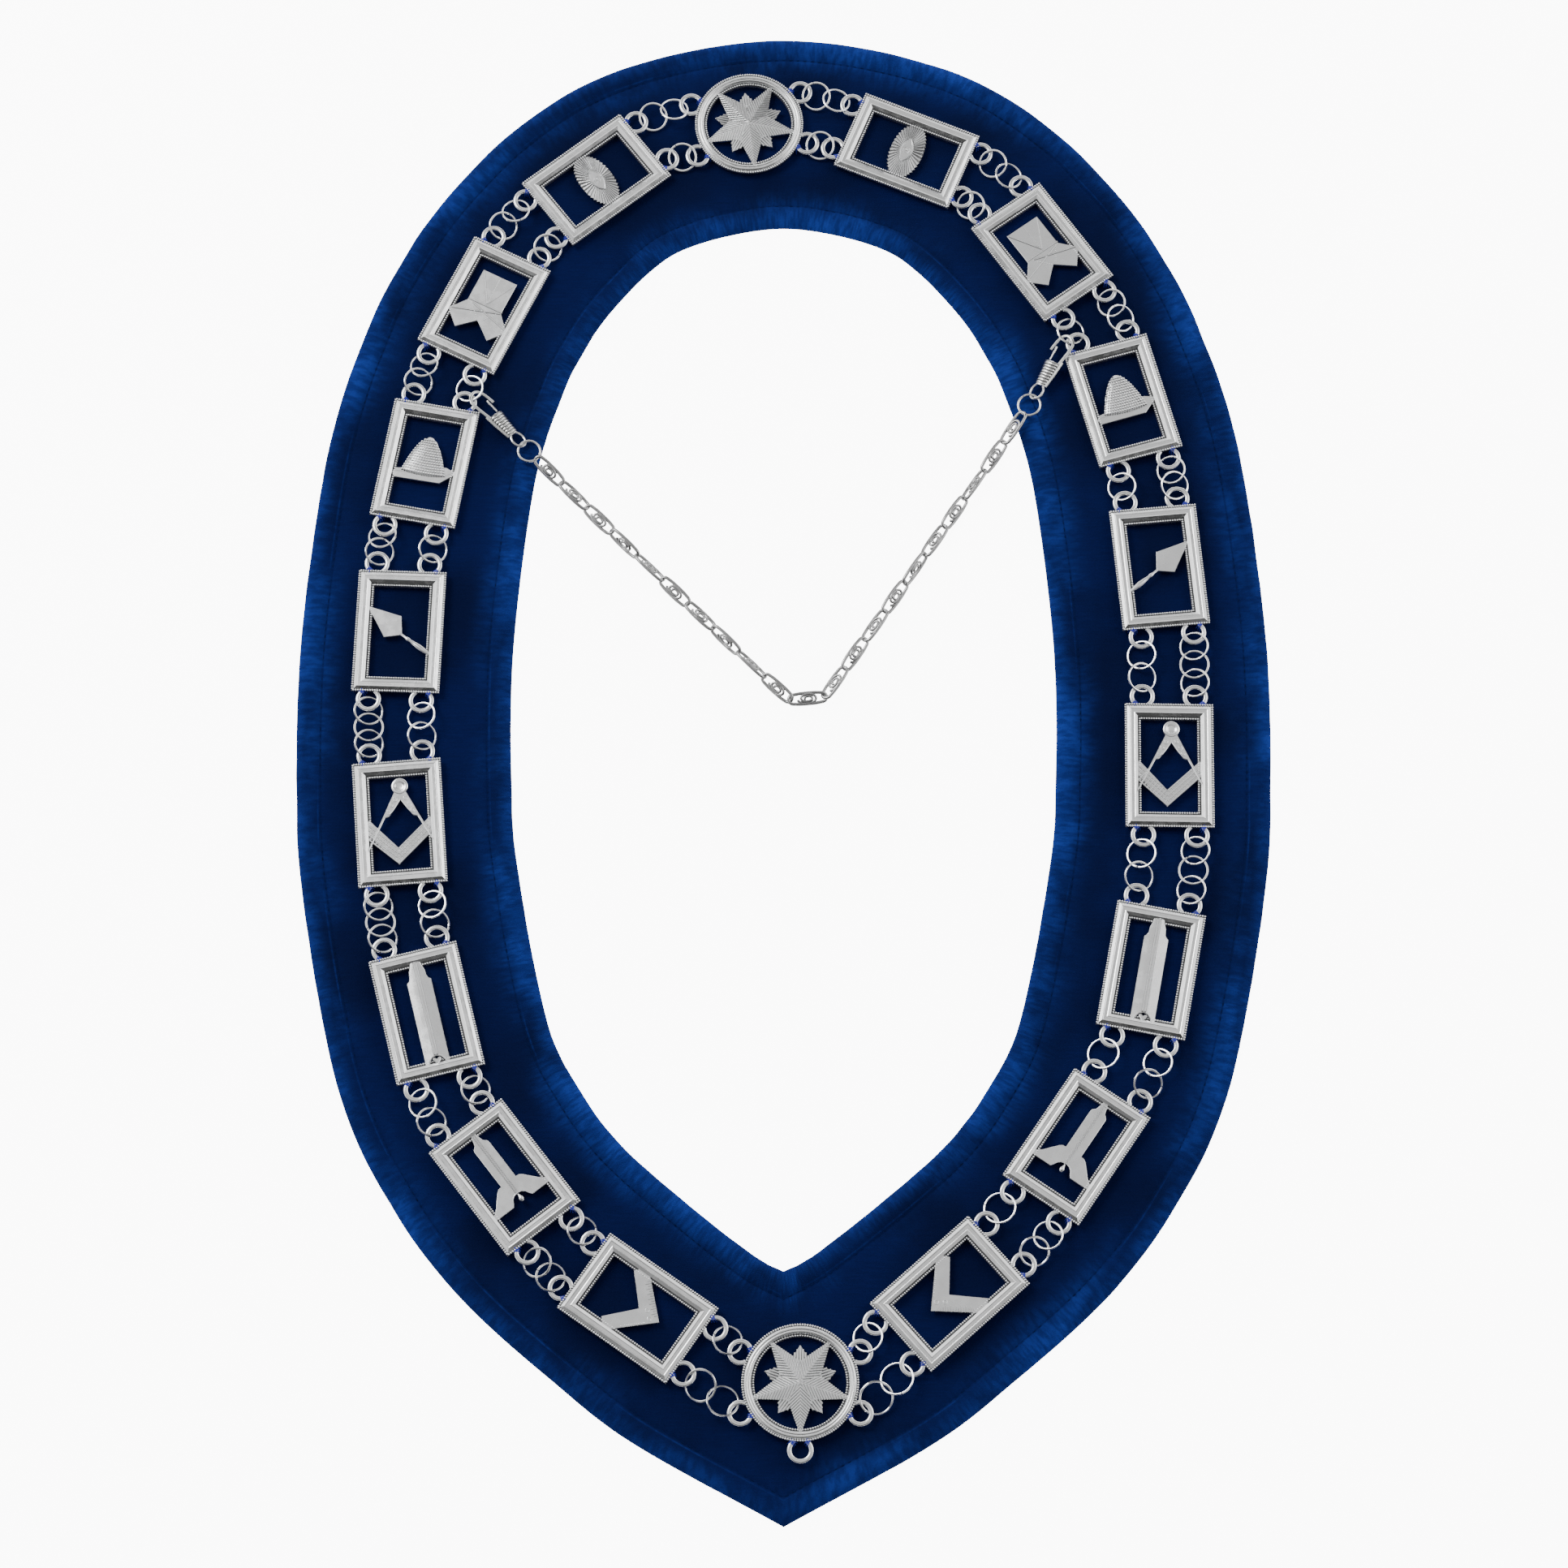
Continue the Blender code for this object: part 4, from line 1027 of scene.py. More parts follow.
@dataclass
class PlumbRule(Figure):
    """A plumb rule, as long as the plate's window."""

    half: Sequence[Spot] = ((0.0, 23.7), (0.7, 24.6), (1.7, 24.6), (2.3, 23.6), (2.8, 21.6),
                            (3.6, 19.6), (3.8, 17.0), (4.4, 15.8), (5.5, 15.0), (5.5, -24.8),
                            (4.1, -24.8), (3.4, -22.0), (1.9, -20.3), (0.0, -19.8))
    half_width: float = 5.5
    middle: float = -0.1
    line_half: float = 0.62
    ridge: float = 0.9 * MM

    def parts(self) -> list[Piece]:
        """The rule, its double line, its arch and its bob."""
        rule = self.slab(paired(self.half, self.middle))
        Bench.open(rule)
        Bench.cut(RIGHT, self.middle * MM)
        Bench.close()
        for vertex in rule.data.vertices:
            if vertex.co.z > self.low + 0.1 * MM:
                away = abs(vertex.co.x / MM - self.middle) / self.half_width
                vertex.co.z += self.ridge * (1 - away) - 0.1 * MM
        lines = [Rib(x, 23.8, x, -19.8, 0.8, 0.2)
                 for x in (self.middle + self.line_half, self.middle - self.line_half)]
        arch = paired(((4.2, -24.6), (3.5, -22.0), (1.9, -20.2), (0.0, -19.7)), self.middle)
        bob = paired(((0.0, -24.0), (1.2, -22.6), (2.0, -21.4), (1.5, -20.7), (0.7, -20.9),
                      (0.0, -21.5)), self.middle)
        return [rule, self.ribs(lines, self.ridge * 0.85), self.line(arch, 0.36 * MM, lift=0.3 * MM),
                self.slab(bob, lift=0.9 * MM, rim=0.4 * MM)]


@dataclass
class Level(Figure):
    """A level: a post on spreading feet, with its plumb line."""

    half: Sequence[Spot] = ((0.9, 24.5), (1.9, 20.2), (2.3, 19.0), (3.6, 17.9), (4.0, 16.9),
                            (4.0, -2.6), (5.6, -2.8), (6.9, -3.8), (7.6, -4.6), (9.4, -6.6),
                            (11.6, -9.2), (13.4, -10.7), (15.5, -11.6), (15.5, -13.5),
                            (5.2, -13.5), (4.3, -12.4), (3.4, -10.8), (2.2, -9.7), (0.9, -9.2))
    bob: Sequence[Spot] = ((0.0, 0.0), (0.9, 0.35), (1.9, 0.8), (2.9, 1.25), (3.7, 1.2),
                           (4.4, 0.7), (4.7, 0.0))
    middle: float = 0.2
    line_half: float = 0.5

    def parts(self) -> list[Piece]:
        """The level, its twisted line, its bob and the lip round its arch."""
        twist = [(self.middle + side * self.line_half, 24.2 - 0.85 * step + 0.3 * side)
                 for step in range(40) for side in (1, -1)]
        strands = [Rib(x - 0.25, y + 0.35, x + 0.25, y - 0.45, 0.6, 0.26) for x, y in twist]
        lip = paired(((5.2, -13.4), (4.3, -12.2), (3.4, -10.6), (2.1, -9.5), (0.0, -9.0)), self.middle)
        bob = Bench.turned([(along * MM, radius * MM) for along, radius in self.bob], 14)
        bob.data.transform(Matrix.Translation(at((self.middle, -9.0), self.high)) @ swing(-90))
        return [self.slab(paired(self.half, self.middle)), self.ribs(strands),
                self.line(lip, 0.26 * MM), bob]


@dataclass
class Square(Figure):
    """A mason's square with its corner down and one arm graduated."""

    outline: Sequence[Spot] = ((0.2, -11.3), (17.2, 6.5), (12.4, 11.0), (0.2, -0.4),
                               (-11.8, 11.0), (-16.5, 7.0))
    ticks: int = 15
    dots: int = 13
    rings: Sequence[Triple] = ((1.5, -4.0, 0.85), (-1.0, -6.9, 0.95))

    def parts(self) -> list[Piece]:
        """The square, its ticks, its dots and its two ringed holes."""
        along, inwards = Vector((0.691, 0.723)), Vector((-0.723, 0.691))
        corner = Vector((0.2, -11.3))
        ticks = []
        for index in range(self.ticks):
            foot = corner + along * (3.0 + 1.12 * index) + inwards * 0.25
            reach = 2.6 if index % 2 else 1.5
            ticks.append(Rib(*foot, *(foot + inwards * reach), 0.62, 0.2))
        down, back = Vector((-0.676, 0.737)), Vector((0.737, 0.676))
        dots = [corner + down * (6.5 + 0.85 * index) + back * 0.7 for index in range(self.dots)]
        rings = [self.line(oval(radius, radius, 12, (x, y)), 0.2 * MM, True)
                 for x, y, radius in self.rings]
        return [self.slab(self.outline), self.ribs(ticks),
                self.beads([at(dot, self.high) for dot in dots], 0.3 * MM), *rings]


@dataclass
class RayedStar(Figure):
    """A star of five long points with slanting ribs over five short points."""

    long_reach: float = 22.7
    short_reach: float = 16.4
    valley: float = 9.4
    rise: float = 1.6 * MM
    slant: float = 47.0
    pitch: float = 1.42

    def height(self, spot: Vector, side: Vector, edge: Vector) -> float:
        """Height of a long point's face at a spot, from its outline's inner corner and edge."""
        return self.high + self.rise * (1 - spot.cross(edge) / side.cross(edge))

    def star(self, reach: float, turn: float, lift: float, rise: float) -> Piece:
        """A five-pointed star whose face rises to its middle."""
        star = self.slab([heading(turn + 36 * corner, self.valley if corner % 2 else reach)
                          for corner in range(10)], lift=lift)
        Bench.open(star)
        top = max(vertex.co.z for vertex in star.data.vertices)
        Bench.pick(star, lambda face: face.calc_center_median().z > top - 0.01 * MM)
        bpy.ops.mesh.poke(offset=rise)
        Bench.close()
        return star

    def chevrons(self) -> Piece:
        """The slanting ribs on both sides of each long point's middle line."""
        stamp = Stamp.rib()
        side, way = heading(36, self.valley).to_2d(), heading(self.slant).to_2d()
        edge = Vector((self.long_reach, 0.0)) - side
        for point, step, hand in product(range(5), range(int(self.long_reach / self.pitch)), (1, -1)):
            turn = Matrix.Rotation(math.radians(-90 + 72 * point), 2)
            start = Vector((self.pitch * (step + 0.35), 0.0))
            end = start + way * self.rib_reach(start, way, side, edge)
            ends = [at(turn @ Vector((spot.x, spot.y * hand)),
                       self.height(spot, side, edge) - 0.08 * MM) for spot in (start, end)]
            stamp.draw(*ends, 1.08 * MM, 0.30 * MM)
        return stamp.lift("chevrons")

    def rib_reach(self, start: Vector, way: Vector, side: Vector, edge: Vector) -> float:
        """How far a rib runs from a point's middle line to its outline or to the next point."""
        reaches = []
        for base, run in ((Vector((0.0, 0.0)), side), (side, edge)):
            cross = way.cross(run)
            if abs(cross) < 1e-6:
                continue
            gap = base - start
            reach, share = gap.cross(run) / cross, gap.cross(way) / cross
            if reach > 0 and -0.001 <= share <= 1.001:
                reaches.append(reach)
        return min(reaches) if reaches else 0.5

    def flutes(self) -> Piece:
        """The straight ribs along each short point."""
        stamp = Stamp.rib()
        for point, index in product(range(5), range(-3, 4)):
            turn = Matrix.Rotation(math.radians(-54 + 72 * point), 2)
            across = 1.15 * index
            tip = self.short_reach - 0.5 - abs(across) * 1.25
            stamp.draw(at(turn @ Vector((self.valley - 1.6, across)), self.high - 0.05 * MM),
                       at(turn @ Vector((tip, across)), self.high - 0.38 * MM), 1.12 * MM, 0.32 * MM)
        return stamp.lift("flutes")

    def parts(self) -> list[Piece]:
        """Both layers of points with their ribs."""
        return [self.star(self.short_reach, -54, -0.3 * MM, 0.2 * MM),
                self.star(self.long_reach, -90, 0.0, self.rise), self.chevrons(), self.flutes()]


class Emblem(Enum):
    """The figures that the plates carry: the word in a plate's name, and the figure's class."""

    EYE = ("eye", RayedEye)
    PROPOSITION = ("problem", Proposition)
    BEEHIVE = ("beehive", Beehive)
    TROWEL = ("trowel", Trowel)
    COMPASSES = ("compasses", Compasses)
    PLUMB_RULE = ("plumb", PlumbRule)
    LEVEL = ("level", Level)
    SQUARE = ("square", Square)
    STAR = ("star", RayedStar)


class Side(Enum):
    """The half of the collar that a plate is on, which says which loops are its outer ones."""

    RIGHT = 1
    LEFT = -1
    MIDDLE = 0


class PlateSeat(NamedTuple):
    """Where one plate lies, and how its upright is turned from +Y."""

    node: str
    emblem: Emblem
    side: Side
    turn: float


def side_seats(side: Side, turns: Sequence[float]) -> list[PlateSeat]:
    """Seats of one side's oblong plates, from the eye down to the square."""
    return [PlateSeat(f"plate_{emblem.value[0]}_{side.name.lower()}", emblem, side, turn)
            for emblem, turn in zip(Emblem, turns)]


PLATE_SEATS = (
    PlateSeat("star_top", Emblem.STAR, Side.MIDDLE, 7.0),
    *side_seats(Side.RIGHT, (67.4, 35.7, 15.5, 5.1, -0.9, -10.9, -34.3, -48.4)),
    PlateSeat("star_bottom", Emblem.STAR, Side.MIDDLE, 0.0),
    *reversed(side_seats(Side.LEFT, (-52.1, -26.3, -10.3, -2.0, 4.6, 14.1, 37.9, 55.1))),
)


@dataclass
class FixedLoop:
    """A soldered loop of flattened wire at a plate's end."""

    outer: float = 11.6 * MM
    width: float = 2.1 * MM
    thickness: float = 1.15 * MM
    solid_thickness: float = 0.9 * MM
    reach: float = 3.6 * MM
    spread: float = 12.0 * MM
    open_angle: float = 34.0

    def radius(self) -> float:
        """Middle radius of the loop's wire."""
        return (self.outer - self.width) / 2

    def model(self) -> Piece:
        """The loop round the origin, open towards -Y."""
        return Bench.arc_rod(self.radius(), self.width, self.thickness,
                             -90 + self.open_angle, 360 - 2 * self.open_angle, 34)


@dataclass
class ChainPlates:
    """The sixteen oblong plates and the two round stars.

    A moulding gives its corners' distances from the rim and their rises, and a row of beads
    its distance, its rise and the share of the beads' full size, all in millimetres.
    """

    width: float = 40.0 * MM
    length: float = 58.0 * MM
    band: float = 7.3 * MM
    crest: float = 0.8 * MM
    edge_over_loop: float = 0.1 * MM
    star_outer: float = 51.0 * MM
    star_band: float = 5.6 * MM
    star_loop_angle: float = 27.0
    jewel_angle: float = -90.0
    rim_height: float = 1.0 * MM
    draw_in: float = 1.1 * MM
    bead_radius: float = 0.55 * MM
    bead_pitch: float = 1.10 * MM
    # painted shade on the ledges between the beads
    ledge_shade: float = 0.8
    figure_low: float = 1.8 * MM
    figure_high: float = 0.35 * MM
    loop: FixedLoop = field(default_factory=FixedLoop)
    moulding: Sequence[Spot] = ((0.85, -0.30), (1.0, 0.0), (2.3, 0.78), (2.55, 0.80), (2.85, 0.68),
                                (4.2, 0.64), (4.5, 0.76), (5.8, -0.15), (6.0, -0.95), (7.2, -0.95))
    star_moulding: Sequence[Spot] = ((0.8, -0.30), (0.95, 0.0), (1.7, 0.62), (2.1, 0.78),
                                     (2.5, 0.62), (2.75, 0.40), (3.0, 0.62), (3.3, 0.74),
                                     (3.6, 0.62), (4.3, 0.0), (4.45, -0.80), (5.5, -0.80))
    beads: Sequence[Triple] = ((0.38, -0.02, 1.0), (6.85, -0.75, 0.96))
    star_beads: Sequence[Triple] = ((0.36, -0.02, 0.96), (5.15, -0.62, 0.90))

    def __post_init__(self) -> None:
        """Read the plates' heights from the frame."""
        low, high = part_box("plate_square_right")
        self.back = low[2]
        self.edge = high[2] - self.crest
        self.ledge = self.edge + self.moulding[0][1] * MM
        self.loop_level = self.edge - self.edge_over_loop - self.loop.solid_thickness / 2

    def middle(self, node: str) -> Vector:
        """A plate's middle, from its node's box, which at the point also holds the jewel's loop."""
        low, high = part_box(node)
        y = high[1] - self.star_outer / 2 if node == "star_bottom" else (low[1] + high[1]) / 2
        return Vector(((low[0] + high[0]) / 2, y, 0.0))

    def place(self, seat: PlateSeat) -> Matrix:
        """Where a plate lies on the band."""
        return Matrix.Translation(self.middle(seat.node)) @ swing(seat.turn)

    def star_loop(self, angle: float) -> Matrix:
        """The place of a soldered loop at a star's rim, by its angle from +X."""
        return swing(angle - 90) @ Matrix.Translation((0.0, self.star_outer / 2 + self.loop.reach, 0.0))

    def loop_places(self, seat: PlateSeat) -> dict[tuple[str, str], Matrix]:
        """The place of each soldered loop on a plate, by the end and the side that it serves."""
        places = {}
        if seat.emblem is Emblem.STAR:
            leave, enter = (0, 180) if seat.node == "star_top" else (180, 0)
            for end, middle, hand in (("leave", leave, 1), ("enter", enter, -1)):
                for side, sign in (("outer", hand), ("inner", -hand)):
                    places[end, side] = self.star_loop(middle + sign * self.star_loop_angle)
            return places
        reach, hand = self.length / 2 + self.loop.reach, seat.side.value
        for end, along in (("leave", -hand), ("enter", hand)):
            for side, across in (("outer", hand), ("inner", -hand)):
                spot = Matrix.Translation((across * self.loop.spread, along * reach, 0.0))
                places[end, side] = spot @ swing(0 if along > 0 else 180)
        return places

    def loop_centre(self, seat: PlateSeat, end: str, side: str) -> Vector:
        """A loop's centre in the collar's frame."""
        return (self.place(seat) @ self.loop_places(seat)[end, side]).translation

    def oblong_frame(self) -> Piece:
        """The moulded frame of an oblong plate."""
        back_width, back_length = self.width - 2 * self.draw_in, self.length - 2 * self.draw_in
        shape = Bench.start(bpy.ops.mesh.primitive_plane_add, (back_width, back_length, 1.0),
                            size=1.0, location=(0.0, 0.0, self.back))
        Bench.open(shape)
        rim = self.ledge - self.rim_height
        Bench.extrude(UP * (rim - self.back))
        bpy.ops.transform.resize(value=(self.width / back_width, self.length / back_length, 1.0),
                                 center_override=(0.0, 0.0, rim))
        Bench.extrude(UP * self.rim_height)
        rows = [(0.0, self.moulding[0][1]), *self.moulding]
        for before, after in zip(rows, rows[1:]):
            Bench.inset((after[0] - before[0]) * MM, (after[1] - before[1]) * MM)
        Bench.pick(shape, lambda face: face.normal.z < -0.9)
        Bench.inset(self.band - self.draw_in)
        inside = self.width / 2 - self.moulding[-1][0] * MM
        Bench.pick(shape, lambda face: abs(face.normal.z) > 0.5 and len(face.verts) == 4
                   and all(abs(v.co.x) < inside + 0.01 * MM for v in face.verts)
                   and face.calc_area() > inside * inside)
        bpy.ops.mesh.bridge_edge_loops()
        Bench.seal()
        self.shade_ledges(shape, self.moulding)
        return Bench.crease(shape, 18.0)

    def round_frame(self) -> Piece:
        """The moulded ring of a star plate."""
        outer = self.star_outer / 2
        section = [(outer - self.draw_in, self.back), (outer, self.ledge - self.rim_height),
                   (outer, self.ledge)]
        section += [(outer - inset * MM, self.edge + rise * MM) for inset, rise in self.star_moulding]
        section.append((outer - self.star_band, self.back))
        ring = Bench.disc(len(section), filled=False)
        for vertex, (x, z) in zip(ring.data.vertices, section):
            vertex.co = (x, 0.0, z)
        Bench.open(ring)
        Bench.spin(360, 96)
        Bench.seal()
        self.shade_ledges(ring, self.star_moulding)
        return Bench.crease(ring, 50.0)

    def shade_ledges(self, frame_piece: Piece, moulding: Sequence[Spot]) -> None:
        """Paint shade on the two ledges under a frame's beads, at its moulding's first and last rows."""
        ledges = [self.edge + moulding[row][1] * MM for row in (0, -1)]
        Bench.shade(frame_piece, [
            self.ledge_shade if min(abs(vertex.co.z - level) for level in ledges) < 0.02 * MM
            else 0.0 for vertex in frame_piece.data.vertices])

    def oblong_line(self, inset: float, level: float) -> list[Vector]:
        """An oblong plate's outline, in from its rim by a distance and at a level."""
        x, y = self.width / 2 - inset, self.length / 2 - inset
        return [Vector((across, along, level)) for across, along in ((x, y), (-x, y), (-x, -y), (x, -y))]

    def round_line(self, inset: float, level: float) -> list[Vector]:
        """A star plate's outline, in from its rim by a distance and at a level."""
        reach = (self.star_outer / 2 - inset) / MM
        return flat_outline(oval(reach, reach, 90), level)

    def bead_rows(self, rows: Sequence[Triple],
                  line: Callable[[float, float], list[Vector]]) -> Piece:
        """Rows of beads along a plate's outline."""
        made = []
        for inset, rise, share in rows:
            stamp = Stamp.bead(self.bead_radius * share)
            for point, _ in pitched(line(inset * MM, self.edge + rise * MM), self.bead_pitch):
                stamp.strike(Matrix.Translation(point))
            made.append(stamp.lift("bead_row"))
        return Bench.joined("bead_rows", made)

    def build(self) -> None:
        """Model every pattern once, then copy it to each plate."""
        loop = self.loop.model()
        star = Bench.joined("round_frame", [self.round_frame(),
                                            self.bead_rows(self.star_beads, self.round_line)])
        oblong = Bench.joined("oblong_frame", [self.oblong_frame(),
                                               self.bead_rows(self.beads, self.oblong_line)])
        figures: dict[tuple, Piece] = {}
        for seat in PLATE_SEATS:
            mirrored = seat.emblem is Emblem.TROWEL and seat.side is Side.LEFT
            key = (seat.emblem, mirrored)
            if key not in figures:
                maker = seat.emblem.value[1]
                figures[key] = maker(self.edge - self.figure_low, self.edge - self.figure_high,
                                     mirrored).model()
            parts = [Bench.copied(star if seat.emblem is Emblem.STAR else oblong),
                     Bench.copied(figures[key])]
            spots = list(self.loop_places(seat).values())
            if seat.node == "star_bottom":
                spots.append(self.star_loop(self.jewel_angle))
            for spot in spots:
                soldered = Bench.copied(loop)
                soldered.data.transform(Matrix.Translation((0.0, 0.0, self.loop_level)) @ spot)
                parts.append(soldered)
            plate = Bench.joined(f"{seat.node}_chased", parts)
            plate.data.transform(self.place(seat))
            Bench.finish(plate, PLATE_SILVER, Slot.SILVER, replaces=[seat.node], crease=50.0)
        Bench.discard(loop, star, oblong, *figures.values())


class RingSeat(NamedTuple):
    """Centre, plane and middle radius of one jump ring."""

    centre: Vector
    along: Vector
    across: Vector
    radius: float


@dataclass
class JumpRings:
    """The strands of jump rings that couple the plates."""

    plates: ChainPlates
    bore: float = 11.6 * MM
    wire: float = 1.1 * MM
    play: float = 0.9 * MM
    link_gap: float = 0.18 * MM
    weld_share: float = 0.65
    cut: float = 3.0
    hooked: Sequence[int] = (2, 15)
    short_gap: tuple[int, int] = (2, 1)
    long_gap: tuple[int, int] = (3, 2)
    long_gaps: Sequence[int] = (4, 5, 12, 13)

    def plan(self, start: Vector, end: Vector, count: int) -> tuple[float, list[tuple]]:
        """Sizes and slopes of a strand between two loop centres.

        The rings lie in planes that are rolled about the strand, so that each passes over
        one side of its neighbour and under the other.

        Args:
            start: the first loop's centre.
            end: the second loop's centre.
            count: the number of rings.

        Returns:
            The bore, and for each ring its distance along the strand, its roll, its pitch
            and the distance at which its plane is level with the loops.
        """
        loop = self.plates.loop
        span = (end - start).length
        loop_bore = loop.outer / 2 - loop.width
        needed = (span - 2 * loop_bore + (count + 1) * self.play) / count
        bore = max(self.bore, needed)
        play = (count * bore - span + 2 * loop_bore) / (count + 1)
        radius = (bore + self.wire) / 2
        first = loop_bore - play + bore / 2
        step = bore - play
        rolls = []
        for reach, thickness in ((loop_bore, 0.0), (loop.radius(), loop.solid_thickness)):
            foot = (reach ** 2 - radius ** 2 + first ** 2) / (2 * first)
            crossing = math.sqrt(reach ** 2 - foot ** 2)
            rolls.append(((thickness + self.wire) / 2 + self.link_gap) / crossing)
        roll = max(rolls)
        level = (loop.radius() ** 2 - radius ** 2 + first ** 2) / (2 * first)
        weld = self.weld_share * self.wire
        height = math.sqrt(radius ** 2 - (step / 2) ** 2) / math.sqrt(1 + roll ** 2)
        if count == 1:
            slopes = [(roll, 0.0, level)]
        elif count == 2:
            tilt = (2 * roll * height - weld) / (span - 2 * level) * 2
            slopes = [(roll, 0.0, level), (-roll, -tilt, span - level)]
        else:
            slopes = [(roll, 0.0, level), (roll - weld / height, 0.0, span / 2),
                      (roll, 0.0, span - level)]
        return bore, [(first + index * step, *slope) for index, slope in enumerate(slopes)]

    def seats(self, start: Vector, end: Vector, count: int, roll_sign: int) -> list[RingSeat]:
        """Where each ring of a strand lies."""
        bore, rings = self.plan(start, end, count)
        run = (end - start).normalized()
        aside = Vector((-run.y, run.x, 0.0))
        made = []
        for distance, roll, pitch, anchor in rings:
            level = self.plates.loop_level + pitch * (distance - anchor)
            made.append(RingSeat(start + run * distance + UP * level, run + UP * pitch,
                                 aside + UP * (roll * roll_sign), (bore + self.wire) / 2))
        return made

    def ring(self, seat: RingSeat, cut_at: float, pattern: Piece) -> Piece:
        """Lay a copy of a ring in its seat, with its cut at an angle."""
        across = (seat.across - seat.along * seat.across.dot(seat.along)
                  / seat.along.length_squared).normalized()
        along = seat.along.normalized()
        ring = Bench.copied(pattern)
        ring.data.transform(Matrix.Translation(seat.centre) @ axes(along, across, along.cross(across))
                            @ Matrix.Rotation(cut_at, 4, "Z"))
        return ring

    def build(self) -> None:
        """Bend the rings of every strand."""
        draws = random.Random(7)
        patterns: dict[int, Piece] = {}
        for index, seat in enumerate(PLATE_SEATS):
            after = PLATE_SEATS[(index + 1) % len(PLATE_SEATS)]
            counts = self.long_gap if index in self.long_gaps else self.short_gap
            for side, count in zip(("outer", "inner"), counts):
                start = self.plates.loop_centre(seat, "leave", side)
                end = self.plates.loop_centre(after, "enter", side)
                sign = -1 if side == "inner" and index in self.hooked else 1
                rings = []
                for place in self.seats(start, end, count, sign):
                    key = round(place.radius / (0.01 * MM))
                    if key not in patterns:
                        patterns[key] = Bench.arc_rod(place.radius, self.wire, self.wire,
                                                      self.cut / 2, 360 - self.cut, 40, 10)
                    rings.append(self.ring(place, draws.uniform(0, math.tau), patterns[key]))
                node = f"rings_{side}_{index + 1:02d}"
                piece = Bench.joined(f"{node}_wire", rings)
                Bench.finish(piece, WIRE_SILVER, Slot.SILVER, replaces=[node])
        Bench.discard(*patterns.values())



